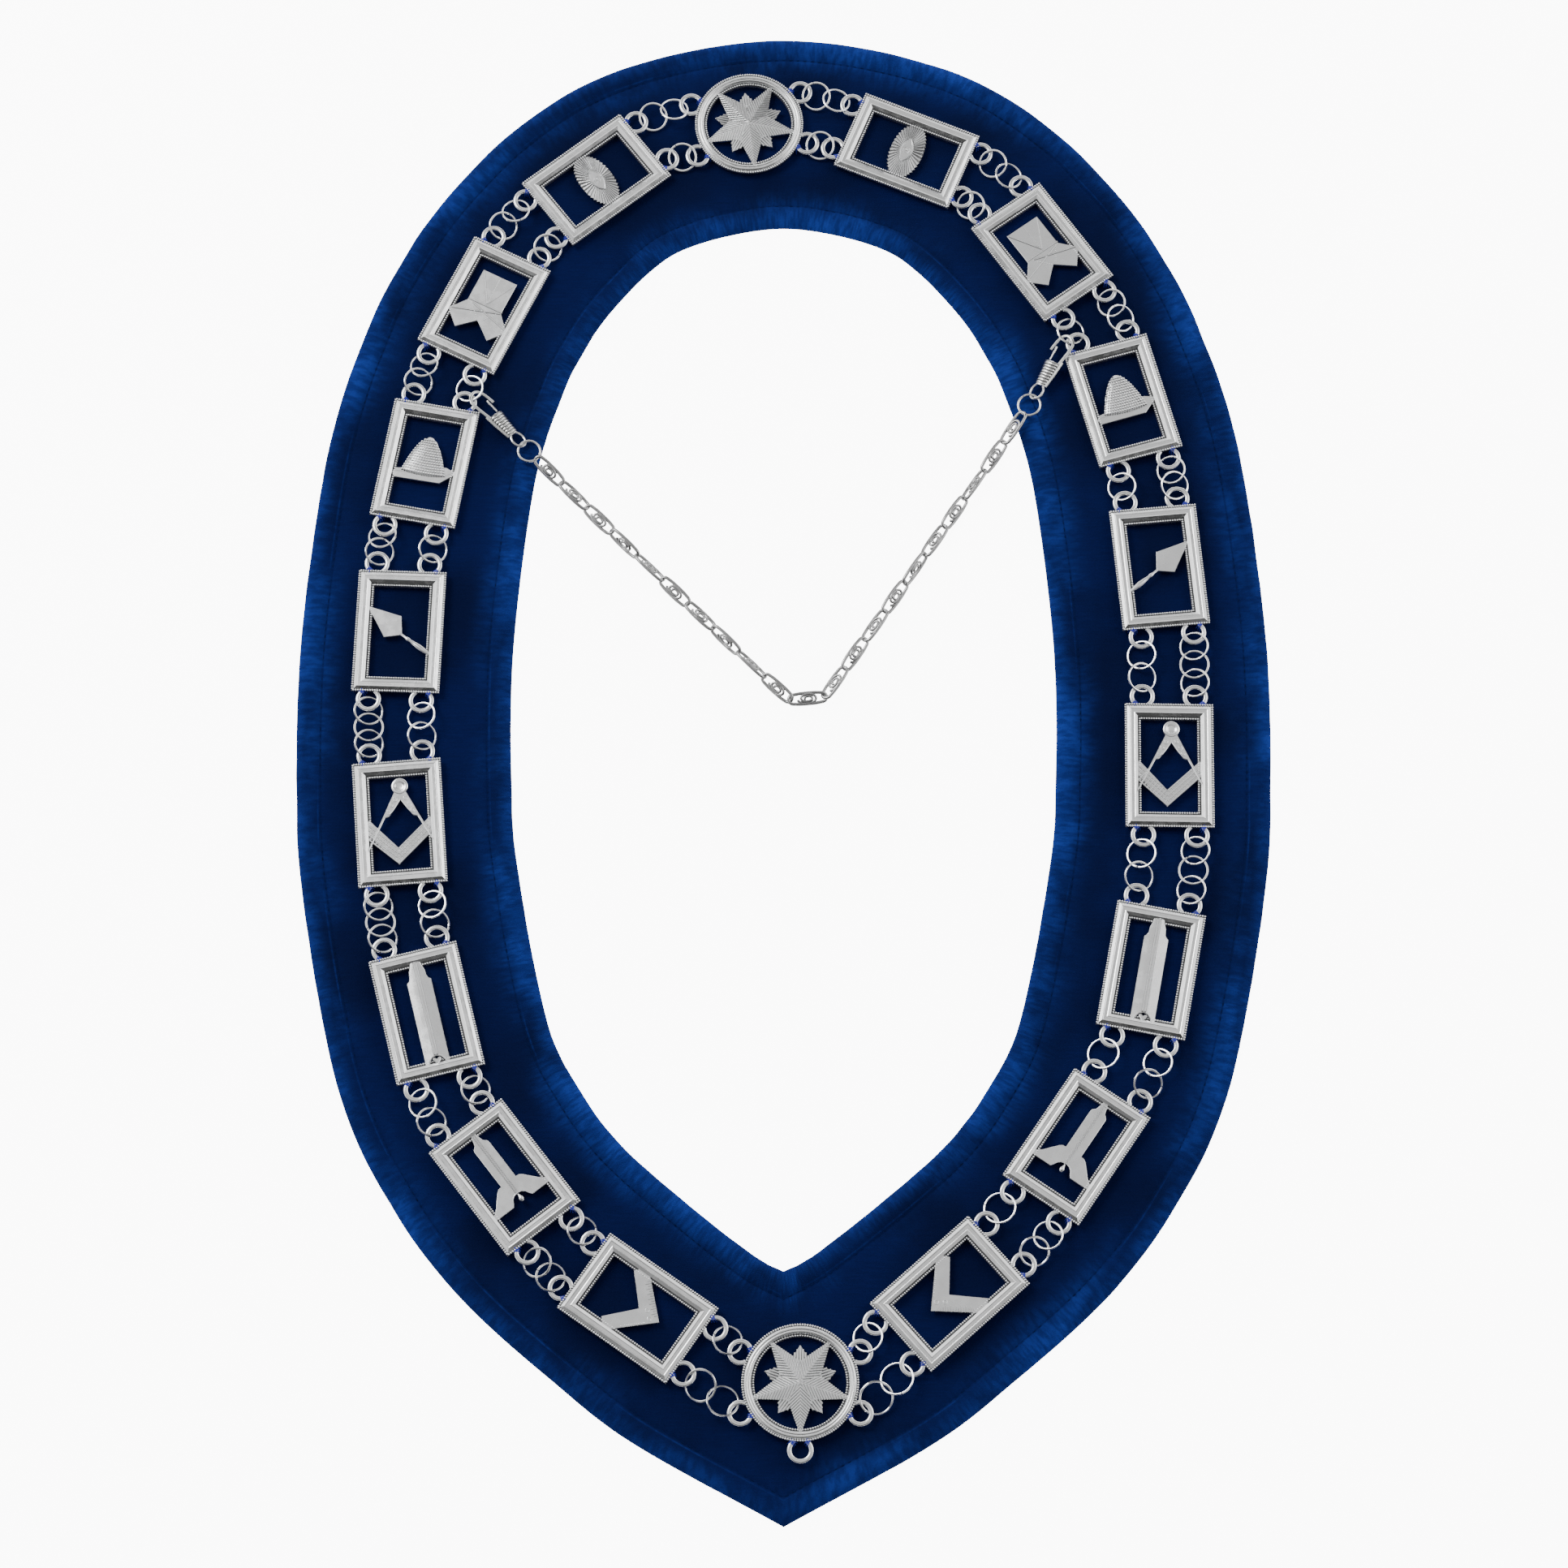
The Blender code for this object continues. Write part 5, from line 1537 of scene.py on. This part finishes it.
@dataclass
class VelvetBand:
    """The velvet collar with its padded and stitched hems.

    Its route gives the band's middle as shares of the route's half width and half length, and
    its hem the lines along the cloth by their distance from the edge and height in millimetres.
    """

    width: float = 440.0 * MM
    length: float = 701.5 * MM
    band: float = 97.0 * MM
    flat_area: float = 0.1525
    coarse_steps: int = 2
    fine_steps: int = 12
    seam_inset: float = 10.9 * MM
    stitch_pitch: float = 3.4 * MM
    stitch: Triple = (1.0 * MM, 0.22 * MM, 0.20 * MM)
    stitch_level: float = 1.62 * MM
    pad_inset: float = 5.5 * MM
    wobble: float = 0.25 * MM
    pucker: float = 0.30 * MM
    crumple: float = 0.28 * MM
    sag: float = 0.16 * MM
    least_height: float = 0.35 * MM
    route: Sequence[Spot] = (
        (0.000, 1.000), (0.413, 0.944), (0.665, 0.818), (0.797, 0.703), (0.872, 0.603),
        (0.948, 0.443), (1.000, 0.160), (0.998, -0.070), (0.975, -0.215), (0.886, -0.463),
        (0.774, -0.603), (0.589, -0.738), (0.226, -0.907), (0.000, -0.9772))
    hem: Sequence[Spot] = (
        (0.0, 0.55), (0.12, 1.0), (0.5, 1.55), (1.2, 2.1), (2.3, 2.6), (3.8, 2.95), (5.4, 3.0),
        (7.2, 2.85), (8.8, 2.5), (10.0, 2.05), (10.7, 1.72), (11.1, 1.70), (11.8, 1.95),
        (13.0, 2.08), (16.0, 2.1), (21.0, 2.1), (27.0, 2.1), (34.0, 2.08), (41.0, 2.08), (48.5, 2.08))

    def stations(self) -> list[tuple[Vector, Vector]]:
        """Inner and outer edge of the band's right half, from the neck down to the point."""
        half_width = (self.width - self.band) / 2
        half_length = (self.length - self.band) / 2
        half_band = self.band / 2
        rows = [Vector((x * half_width, y * half_length, 0.0)) for x, y in self.route]
        middles = smooth_curve([opposite(rows[1]), *rows], self.coarse_steps)
        line = [opposite(middles[1]), *middles, rows[-1]]
        pairs = []
        for before, middle, after in zip(line, line[1:], line[2:]):
            run = (after - before).normalized()
            out = Vector((-run.y, run.x, 0.0)) * half_band
            pairs.append((middle - out, middle + out))
        last = (rows[-1] - middles[-1]).normalized()
        drop = Vector((0.0, -half_band / abs(last.x), 0.0))
        return [*pairs, (rows[-1] - drop, rows[-1] + drop)]

    def edges(self) -> list[tuple[Vector, Vector]]:
        """Both edges all the way round, finely and smoothly."""
        fine = [smooth_curve([opposite(line[1]), *line, 2 * line[-1] - line[-2]], self.fine_steps)
                for line in zip(*self.stations())]
        right = list(zip(*fine))
        return right + [(opposite(inner), opposite(outer)) for inner, outer in right[-2:0:-1]]

    def profile(self) -> list[tuple[float, float]]:
        """Share across the band and height of each line, from the outer edge to the inner."""
        half_band = self.band / 2
        outer = [(1 - inset * MM / half_band, height * MM) for inset, height in self.hem]
        return outer + [(-share, height) for share, height in reversed(outer[:-1])]

    def lift(self, place: Vector, share: float, height: float, run: float) -> float:
        """Height of the cloth with its puckers and soft waves."""
        inset = (1 - abs(share)) * self.band / 2
        seam = math.exp(-((inset - self.seam_inset) / (3.2 * MM)) ** 2)
        pucker = noise.noise(Vector((run * 160, share * 3, 4.0)))
        wave = noise.noise(place * 24 + Vector((0.0, 0.0, 9.0)))
        padded = math.exp(-((inset - self.pad_inset) / (3.5 * MM)) ** 2)
        crumple = noise.noise(Vector((run * 55, share * 5, 1.0)))
        raised = height + self.pucker * pucker * seam + self.crumple * crumple * padded
        if inset > self.seam_inset:
            raised -= self.sag * (0.5 + 0.5 * wave)
        return max(raised, self.least_height)

    def build(self) -> None:
        """Loft the cloth round the collar, mark each corner's run and share, and sew the hems.

        The run along the band is written as a place on a circle, so that it closes on itself.
        """
        edges = self.edges()
        profile = [*self.profile(), (-1.0, 0.0), (1.0, 0.0)]
        rows = len(profile)
        middles = [(inner + outer) / 2 for inner, outer in edges]
        lengths = [(end - start).length for start, end in zip(middles, [*middles[1:], middles[0]])]
        radius = sum(lengths) / math.tau
        points, runs, run = [], [], 0.0
        for (inner, outer), middle, length in zip(edges, middles, lengths):
            angle = run / radius
            for share, height in profile:
                runs.append(Vector((radius * math.cos(angle), radius * math.sin(angle), share)))
                spot = middle + (outer - inner) / 2 * share
                if height:
                    near_edge = max(0.0, abs(share) - 0.9) * 10
                    wobble = noise.noise(Vector((run * 70, share, 2.0))) * self.wobble * near_edge
                    spot += (outer - inner).normalized() * wobble * (1 if share > 0 else -1)
                    spot.z = self.lift(spot, share, height, run)
                points.append(spot)
            run += length
        starts = range(0, len(points), rows)
        faces = [(here + side, here + (side + 1) % rows, there + (side + 1) % rows, there + side)
                 for here, there in zip(starts, [*starts[1:], 0]) for side in range(rows)]
        band = Bench.cast("velvet_band", points, faces)
        layer = band.data.attributes.new(CLOTH, "FLOAT_VECTOR", "POINT")
        for corner, spot in zip(layer.data, runs):
            corner.vector = spot
        Bench.open(band)
        bpy.ops.mesh.normals_make_consistent(inside=False)
        Bench.close()
        Bench.finish(band, VELVET, Slot.VELVET, replaces=["velvet_collar"], crease=60.0)
        self.sew(edges)

    def sew(self, edges: Sequence[tuple[Vector, Vector]]) -> None:
        """The running stitches along both hems."""
        bead = Stamp.bead(1.0)
        for side in (-1, 1):
            share = side * (1 - self.seam_inset / (self.band / 2))
            line = [(inner + outer) / 2 + (outer - inner) / 2 * share for inner, outer in edges]
            for point, way in pitched(line, self.stitch_pitch):
                turn = Matrix.Rotation(math.atan2(way.y, way.x), 4, "Z")
                bead.strike(Matrix.Translation(point + UP * self.stitch_level) @ turn
                            @ Matrix.Diagonal((*self.stitch, 1.0)))
        Bench.finish(bead.lift("hem_stitches"), HEM_THREAD, Slot.VELVET)


@dataclass
class PlateStitches:
    """Blue thread that ties the plates' loops to the velvet."""

    plates: ChainPlates
    thread: float = 0.20 * MM
    turns: int = 5
    spacing: float = 0.36 * MM
    foot: float = 1.75 * MM
    lean: float = 0.35 * MM
    tie_angle: float = 44.0
    stray_angle: float = 3.0
    stray_turn: float = 0.15

    def pattern(self) -> Stamp:
        """A few turns of thread over a wire that runs along X at height 0."""
        loop = self.plates.loop
        drop = self.foot - self.plates.loop_level
        half = loop.width / 2 + self.thread * 1.2
        top = loop.thickness / 2 + self.thread
        hoops = []
        for turn in range(self.turns):
            shift = (turn - (self.turns - 1) / 2) * self.spacing
            lean = self.lean * (1 if turn % 2 else -1)
            points = [Vector((shift * spread + hand * lean * tilt, hand * reach, level))
                      for hand, spread, tilt, reach, level in (
                          (-1, 1.5, 1.0, half + 0.3 * MM, drop), (-1, 1.2, 0.7, half, -top * 0.3),
                          (-1, 1.0, 0.3, half * 0.7, top * 0.8), (1, 1.0, 0.0, 0.0, top),
                          (1, 1.0, 0.3, half * 0.7, top * 0.8), (1, 1.2, 0.7, half, -top * 0.3),
                          (1, 1.5, 1.0, half + 0.3 * MM, drop))]
            hoops.append(Bench.wire(points, self.thread, smoothness=1))
        return Stamp(Bench.joined("turns", hoops))

    def legs(self, seat: PlateSeat) -> list[tuple[Matrix, float]]:
        """Each loop of a plate, with the side of it that is tied."""
        axis = 1 if seat.emblem is Emblem.STAR else 0
        legs = []
        for place in self.plates.loop_places(seat).values():
            inwards = (place.to_3x3() @ RIGHT)[axis] * place.translation[axis]
            legs.append((place, 1.0 if inwards > 0 else -1.0))
        if seat.node == "star_bottom":
            place = self.plates.star_loop(self.plates.jewel_angle)
            legs += [(place, 1.0), (place, -1.0)]
        return legs

    def build(self) -> None:
        """Tie every loop."""
        draws = random.Random(11)
        stamp = self.pattern()
        radius = self.plates.loop.radius()
        for seat in PLATE_SEATS:
            for place, hand in self.legs(seat):
                stray = draws.uniform(-self.stray_angle, self.stray_angle)
                angle = -90 + hand * (self.tie_angle + stray)
                spot = Matrix.Translation(heading(angle, radius) + UP * self.plates.loop_level)
                turn = swing(angle + 90) @ Matrix.Rotation(
                    draws.uniform(-self.stray_turn, self.stray_turn), 4, "Z")
                stamp.strike(self.plates.place(seat) @ place @ spot @ turn)
        Bench.finish(stamp.lift("plate_stitches"), THREAD, Slot.VELVET)


class HookSeat(NamedTuple):
    """Which way a snap hook's bow points, and the side of its gate: 1 left, -1 right."""

    name: str
    direction: float
    hand: int


HOOK_SEATS = (HookSeat("right", 61.7, 1), HookSeat("left", 132.2, -1))


@dataclass
class SnapHook:
    """A snap hook with its barrel, swivel eye, end ring and sprung gate."""

    seat: HookSeat
    bow_length: float = 14.9 * MM
    bow_strip: float = 1.5 * MM
    bow_thickness: float = 1.2 * MM
    barrel_length: float = 13.0 * MM
    barrel_wide: float = 7.9 * MM
    barrel_narrow: float = 5.4 * MM
    barrel_thickness: float = 4.4 * MM
    ribs: int = 8
    rib_rise: float = 0.22 * MM
    rail: float = 0.75 * MM
    eye_length: float = 7.6 * MM
    eye_width: float = 7.2 * MM
    eye_sink: float = 1.0 * MM
    eye_wire: float = 1.3 * MM
    solid_eye_wire: float = 1.2 * MM
    ring_outer: float = 11.4 * MM
    ring_wire: float = 1.2 * MM
    ring_gap: float = 0.3 * MM
    ring_cut_at: float = 62.0
    ring_cut: float = 2.5
    weld_share: float = 0.65
    gate_strip: float = 1.1 * MM
    gate_clearance: float = 0.4 * MM
    bow: Sequence[Spot] = ((-0.05, -0.200), (0.27, -0.262), (0.54, -0.305), (0.77, -0.312),
                           (0.93, -0.200), (0.995, -0.020), (0.92, 0.130), (0.74, 0.212),
                           (0.54, 0.252), (0.38, 0.270))

    def gate_line(self) -> tuple[Vector, Vector]:
        """The gate's hinge and its tip, in the hook's frame."""
        inside = (self.bow[-2][1] * self.bow_length - self.bow_strip / 2 - self.gate_clearance
                  - self.gate_strip / 2) * self.seat.hand
        hinge = Vector((self.gate_strip + self.gate_clearance, inside, 0.0))
        return hinge, Vector((self.bow[-2][0] * self.bow_length, inside, 0.0))

    def place(self) -> Matrix:
        """The hook's own frame, X towards its bow, read from its gate's joint."""
        joint = next(j for j in frame["joints"] if j["name"] == f"gate_{self.seat.name}_hinge")
        axis_z = Vector(joint["axis"]).normalized() * -self.seat.hand
        ahead = heading(self.seat.direction)
        axis_x = (ahead - UP * (ahead.dot(axis_z) / axis_z.z)).normalized()
        turn = axes(axis_x, axis_z.cross(axis_x).normalized(), axis_z)
        return Matrix.Translation(Vector(joint["pos_m"]) - turn @ self.gate_line()[0]) @ turn

    def end_ring(self) -> tuple[Vector, float]:
        """Centre of the end ring in the hook's frame, and the slope of its plane."""
        radius = (self.ring_outer - self.ring_wire) / 2
        far_side = self.barrel_length + self.eye_length - self.solid_eye_wire
        slope = self.weld_share * self.solid_eye_wire / ((self.eye_width - self.solid_eye_wire) / 2)
        return Vector((self.ring_gap - far_side - radius + self.ring_wire / 2, 0.0, 0.0)), slope

    def bow_piece(self) -> Piece:
        """The bow, bent from one strip."""
        spots = [Vector((x * self.bow_length, y * self.bow_length * self.seat.hand, 0.0))
                 for x, y in self.bow]
        bow = Bench.wire(curve_through(spots, 5), self.bow_strip / 2, smoothness=3)
        bow.data.transform(Matrix.Diagonal((1.0, 1.0, self.bow_thickness / self.bow_strip, 1.0)))
        return bow

    def barrel(self) -> Piece:
        """The ribbed barrel, narrower towards the eye, with a smooth collar at each end and painted
        shade in its grooves.
        """
        profile = [(0.0, 0.0), (0.0, self.barrel_wide / 2 - 0.5 * MM),
                   (-0.25 * MM, self.barrel_wide / 2 - 0.15 * MM)]
        pitch = (self.barrel_length - 1.4 * MM) / self.ribs
        for rib in range(self.ribs):
            for share, rise in ((0.08, 0.0), (0.20, 0.85), (0.5, 1.0), (0.80, 0.85), (0.92, 0.0)):
                along = -0.5 * MM - pitch * (rib + share)
                taper = -along / self.barrel_length
                radius = (self.barrel_wide + (self.barrel_narrow - self.barrel_wide) * taper) / 2
                profile.append((along, radius - self.rib_rise + self.rib_rise * rise))
        end = self.barrel_narrow / 2
        profile += [(-self.barrel_length + 0.6 * MM, end - 0.1 * MM),
                    (-self.barrel_length + 0.1 * MM, end - 0.2 * MM),
                    (-self.barrel_length, end - 0.6 * MM), (-self.barrel_length, 0.0)]
        barrel = Bench.turned(profile, 28)
        # painted shade in the grooves between the ribs
        Bench.shade(barrel, [self.groove(vertex.co) for vertex in barrel.data.vertices])
        flat = self.barrel_thickness / self.barrel_wide
        barrel.data.transform(Matrix.Diagonal((1.0, 1.0, flat, 1.0)))
        return barrel

    def groove(self, spot: Vector) -> float:
        """How deep in a groove of the barrel a corner lies, from 0 to 1, as its painted shade."""
        along = -spot.x
        if not 0.5 * MM < along < self.barrel_length - 0.8 * MM:
            return 0.0
        full = self.barrel_wide + (self.barrel_narrow - self.barrel_wide) * along / self.barrel_length
        return max(0.0, min(1.0, (full / 2 - math.hypot(spot.y, spot.z)) / self.rib_rise))

    def rail_piece(self) -> Piece:
        """The smooth rail down the barrel's back, in line with the bow's long leg."""
        side = -self.seat.hand
        line = [Vector((x * self.barrel_length, side * y, 0.0)) for x, y in
                ((0.10, 4.25 * MM), (0.0, 4.15 * MM), (-0.35, 3.75 * MM), (-0.7, 3.2 * MM),
                 (-0.97, 2.7 * MM))]
        return Bench.wire(line, self.rail, smoothness=3)

    def eye(self) -> Piece:
        """The swivel eye, an oval of wire."""
        radius = (self.eye_width - self.eye_wire) / 2
        half = (self.eye_length - self.eye_wire / 2 + self.eye_sink) / 2
        centre = self.eye_sink - self.barrel_length - half
        line = flat_outline(oval(half / MM, radius / MM, 30, (centre / MM, 0.0)), 0.0)
        return Bench.wire(line, self.eye_wire / 2, closed=True, smoothness=3)

    def ring(self) -> Piece:
        """The end ring, with its cut."""
        centre, slope = self.end_ring()
        ring = Bench.arc_rod((self.ring_outer - self.ring_wire) / 2, self.ring_wire,
                             self.ring_wire, self.ring_cut_at, 360 - self.ring_cut, 40)
        lean = Matrix.Rotation(math.atan(slope * self.seat.hand), 4, "X")
        ring.data.transform(Matrix.Translation(centre) @ lean)
        return ring

    def gate(self) -> Piece:
        """The sprung gate, a flat tongue with a rolled pivot and a bent tip."""
        hinge, tip = self.gate_line()
        reach = (tip - hinge).x
        line = [Vector((x, y * self.seat.hand, 0.0)) + hinge for x, y in
                ((-0.55 * MM, 0.0), (reach * 0.25, 0.02 * MM), (reach * 0.5, 0.0),
                 (reach * 0.72, -0.10 * MM), (reach * 0.88, -0.06 * MM), (reach, 0.0))]
        return Bench.wire(curve_through(line, 4), self.gate_strip / 2, smoothness=3)

    def build(self) -> Matrix:
        """Make the hook and its gate, and give the hook's frame."""
        place = self.place()
        hook = Bench.joined(f"snap_hook_{self.seat.name}_formed",
                            [self.bow_piece(), self.barrel(), self.rail_piece(), self.eye(),
                             self.ring()])
        hook.data.transform(place)
        Bench.finish(hook, HOOK_SILVER, Slot.SILVER, replaces=[f"snap_hook_{self.seat.name}"])
        gate = self.gate()
        gate.name = gate.data.name = f"hook_gate_{self.seat.name}_formed"
        gate.data.transform(place)
        Bench.finish(gate, HOOK_SILVER, Slot.SILVER, body=f"gate_{self.seat.name}",
                     replaces=[f"hook_gate_{self.seat.name}"])
        return place


@dataclass
class ScrollChain:
    """The light chain of oval scroll links across the neck opening."""

    ends: Sequence[Vector]
    turn: Sequence[Spot] = ((2.3, 20.9), (17.4, 20.5))
    wire: float = 0.80 * MM
    link_length: float = 18.9 * MM
    link_width: float = 6.6 * MM
    scroll_reach: float = 4.6 * MM
    floor: float = 2.9 * MM
    ring_reach: float = 5.1 * MM
    drop_run: float = 26.0 * MM
    scroll_start: float = 190.0
    scroll_turns: float = 2.1
    scroll_shrink: float = 0.78
    scroll_wire: float = 0.80
    scroll_rise: float = 0.5 * MM
    rolls: Sequence[float] = (20, -25, 15, 52, -48, 20, -25, 50, -52, 25, 12,
                              -22, 20, -25, 24, 54, -20, 25, -48, 22, -20)

    def link(self) -> Piece:
        """One link along X: a long oval with a scroll of wire in its middle."""
        half, wide = self.link_length / 2 - self.wire, self.link_width / 2 - self.wire
        bend = wide * 0.84
        quarter = [Vector((0.0, wide, 0.0)), Vector(((half - bend) * 0.55, wide * 0.97, 0.0))]
        quarter += [RIGHT * (half - bend) + heading(degrees, bend) for degrees in (85, 65, 45, 25, 8)]
        side = quarter + [Vector((p.x, -p.y, 0.0)) for p in reversed(quarter)]
        loop = side + [opposite(point) for point in side[-2:0:-1]]
        scroll = []
        for step in range(60):
            share = step / 59
            way = heading(self.scroll_start + 360 * self.scroll_turns * share,
                          1 - self.scroll_shrink * share)
            scroll.append(Vector((self.scroll_reach * way.x, (wide + 0.1 * MM) * way.y,
                                  self.scroll_rise * math.sin(min(1.0, share * 4) * math.pi / 2))))
        return Bench.joined("link", [Bench.wire(loop, self.wire, closed=True),
                                     Bench.wire(scroll, self.wire * self.scroll_wire)])

    def route(self) -> list[Vector]:
        """The chain's way from the left end ring over the floor to the right one."""
        left, right = self.ends
        first, second = (Vector((x * MM, y * MM, self.floor)) for x, y in self.turn)
        points = []
        for start, end, flip in ((left, first, False), (right, second, True)):
            leg = []
            for step in range(25):
                share = step / 24
                spot = start.lerp(end, share)
                drop = min(1.0, share * (end - start).length / self.drop_run)
                spot.z = start.z + (self.floor - start.z) * drop * drop * (3 - 2 * drop)
                leg.append(spot)
            points += reversed(leg) if flip else leg
        return points

    def build(self) -> None:
        """Hang the links along the route."""
        spots = evenly(self.route(), len(self.rolls) + 1)
        pattern = self.link()
        links = []
        for (start, _), (end, _), roll in zip(spots, spots[1:], self.rolls):
            run = (end - start).normalized()
            aside = UP.cross(run).normalized()
            link = Bench.copied(pattern)
            link.data.transform(Matrix.Translation((start + end) / 2)
                                @ axes(run, aside, run.cross(aside))
                                @ Matrix.Rotation(math.radians(roll), 4, "X"))
            links.append(link)
        chain = Bench.joined("scroll_chain_links", links)
        Bench.discard(pattern)
        Bench.finish(chain, CHAIN_SILVER, Slot.SILVER, replaces=["scroll_chain"], crease=50.0)


class Softbox(NamedTuple):
    """A lamp behind a square of cloth: its place, its size and its power."""

    name: str
    place: Triple
    size: float
    power: float


@dataclass
class Studio:
    """The pale board, the lamps, the surroundings and the camera."""

    target: Triple = (0.00018, -0.01804, 0.0)
    distance: float = 1.911
    lean: float = 16.5
    lens: float = 97.2
    sensor: float = 36.0
    board: float = 6.0
    surround: float = 1.0
    sky: Sequence[Spot] = ((0.0, 0.25), (0.12, 1.60), (0.48, 1.60), (0.62, 0.15), (0.80, 0.17),
                           (0.90, 0.72), (1.0, 0.64))
    lamps: Sequence[Softbox] = (Softbox("key_box", (-1.3, 0.9, 1.7), 1.0, 30.0),
                                Softbox("fill_box", (1.5, 0.5, 1.5), 1.2, 12.0))

    def camera(self) -> None:
        """Stand the camera at the photograph's angle, upright along +Y."""
        data = bpy.data.cameras.new("camera")
        data.lens = self.lens
        data.sensor_width = self.sensor
        camera = Bench.put("camera", data)
        lean = math.radians(self.lean)
        camera.location = Vector(self.target) + self.distance * Vector(
            (0.0, -math.sin(lean), math.cos(lean)))
        camera.rotation_euler = (lean, 0.0, 0.0)
        bpy.context.scene.camera = camera

    def lights(self) -> None:
        """Set the soft lamps round the board."""
        for lamp in self.lamps:
            data = bpy.data.lights.new(lamp.name, "AREA")
            data.size = lamp.size
            data.energy = lamp.power
            light = Bench.put(lamp.name, data)
            light.location = lamp.place
            light.rotation_euler = (-Vector(lamp.place)).to_track_quat("-Z", "Y").to_euler()

    def surroundings(self) -> None:
        """Ring the room with white boards, open and dark beyond the point of the collar."""
        world = bpy.data.worlds.new("studio")
        world.use_nodes = True
        bpy.context.scene.world = world
        work = NodeWork(world.node_tree)
        place = work.add("ShaderNodeTexCoord").outputs["Generated"]
        parts = work.add("ShaderNodeSeparateXYZ", {0: place}).outputs
        ramp = work.add("ShaderNodeValToRGB", {0: parts[2]})
        stops = ramp.color_ramp.elements
        for height, _ in self.sky[1:-1]:
            stops.new(height)
        for stop, (height, tone) in zip(stops, self.sky):
            stop.position = height
            stop.color = (tone, tone, tone, 1.0)
        open_side = work.remap(parts[1], -0.72, -0.30, 0.12, 1.0)
        glow = work.blend(open_side, (0.0, 0.0, 0.0, 1.0), ramp.outputs[0])
        background = world.node_tree.nodes["Background"]
        work.feed(background, {"Color": glow, "Strength": self.surround})

    def floor(self) -> None:
        """Lay the board."""
        board = Bench.start(bpy.ops.mesh.primitive_plane_add, size=self.board,
                            location=(0.0, 0.0, -0.05 * MM))
        board.name = "board"
        board.data.materials.append(FloorFinish("pale_board").material())

    def build(self) -> None:
        """Set up the whole studio."""
        self.camera()
        self.lights()
        self.surroundings()
        self.floor()


def main() -> None:
    """Build the collar's looks in order and report each piece."""
    logging.basicConfig(level=logging.INFO, format="%(message)s")
    Studio().build()
    VelvetBand().build()
    plates = ChainPlates()
    plates.build()
    JumpRings(plates).build()
    PlateStitches(plates).build()
    rings = []
    for seat in HOOK_SEATS:
        hook = SnapHook(seat)
        rings.append(hook.build() @ hook.end_ring()[0])
    ends = []
    for ring, turn in zip(reversed(rings), ScrollChain.turn):
        away = Vector((turn[0] * MM - ring.x, turn[1] * MM - ring.y, 0.0)).normalized()
        ends.append(ring + away * ScrollChain.ring_reach)
    ScrollChain(ends).build()


if __name__ == "__main__":
    main()
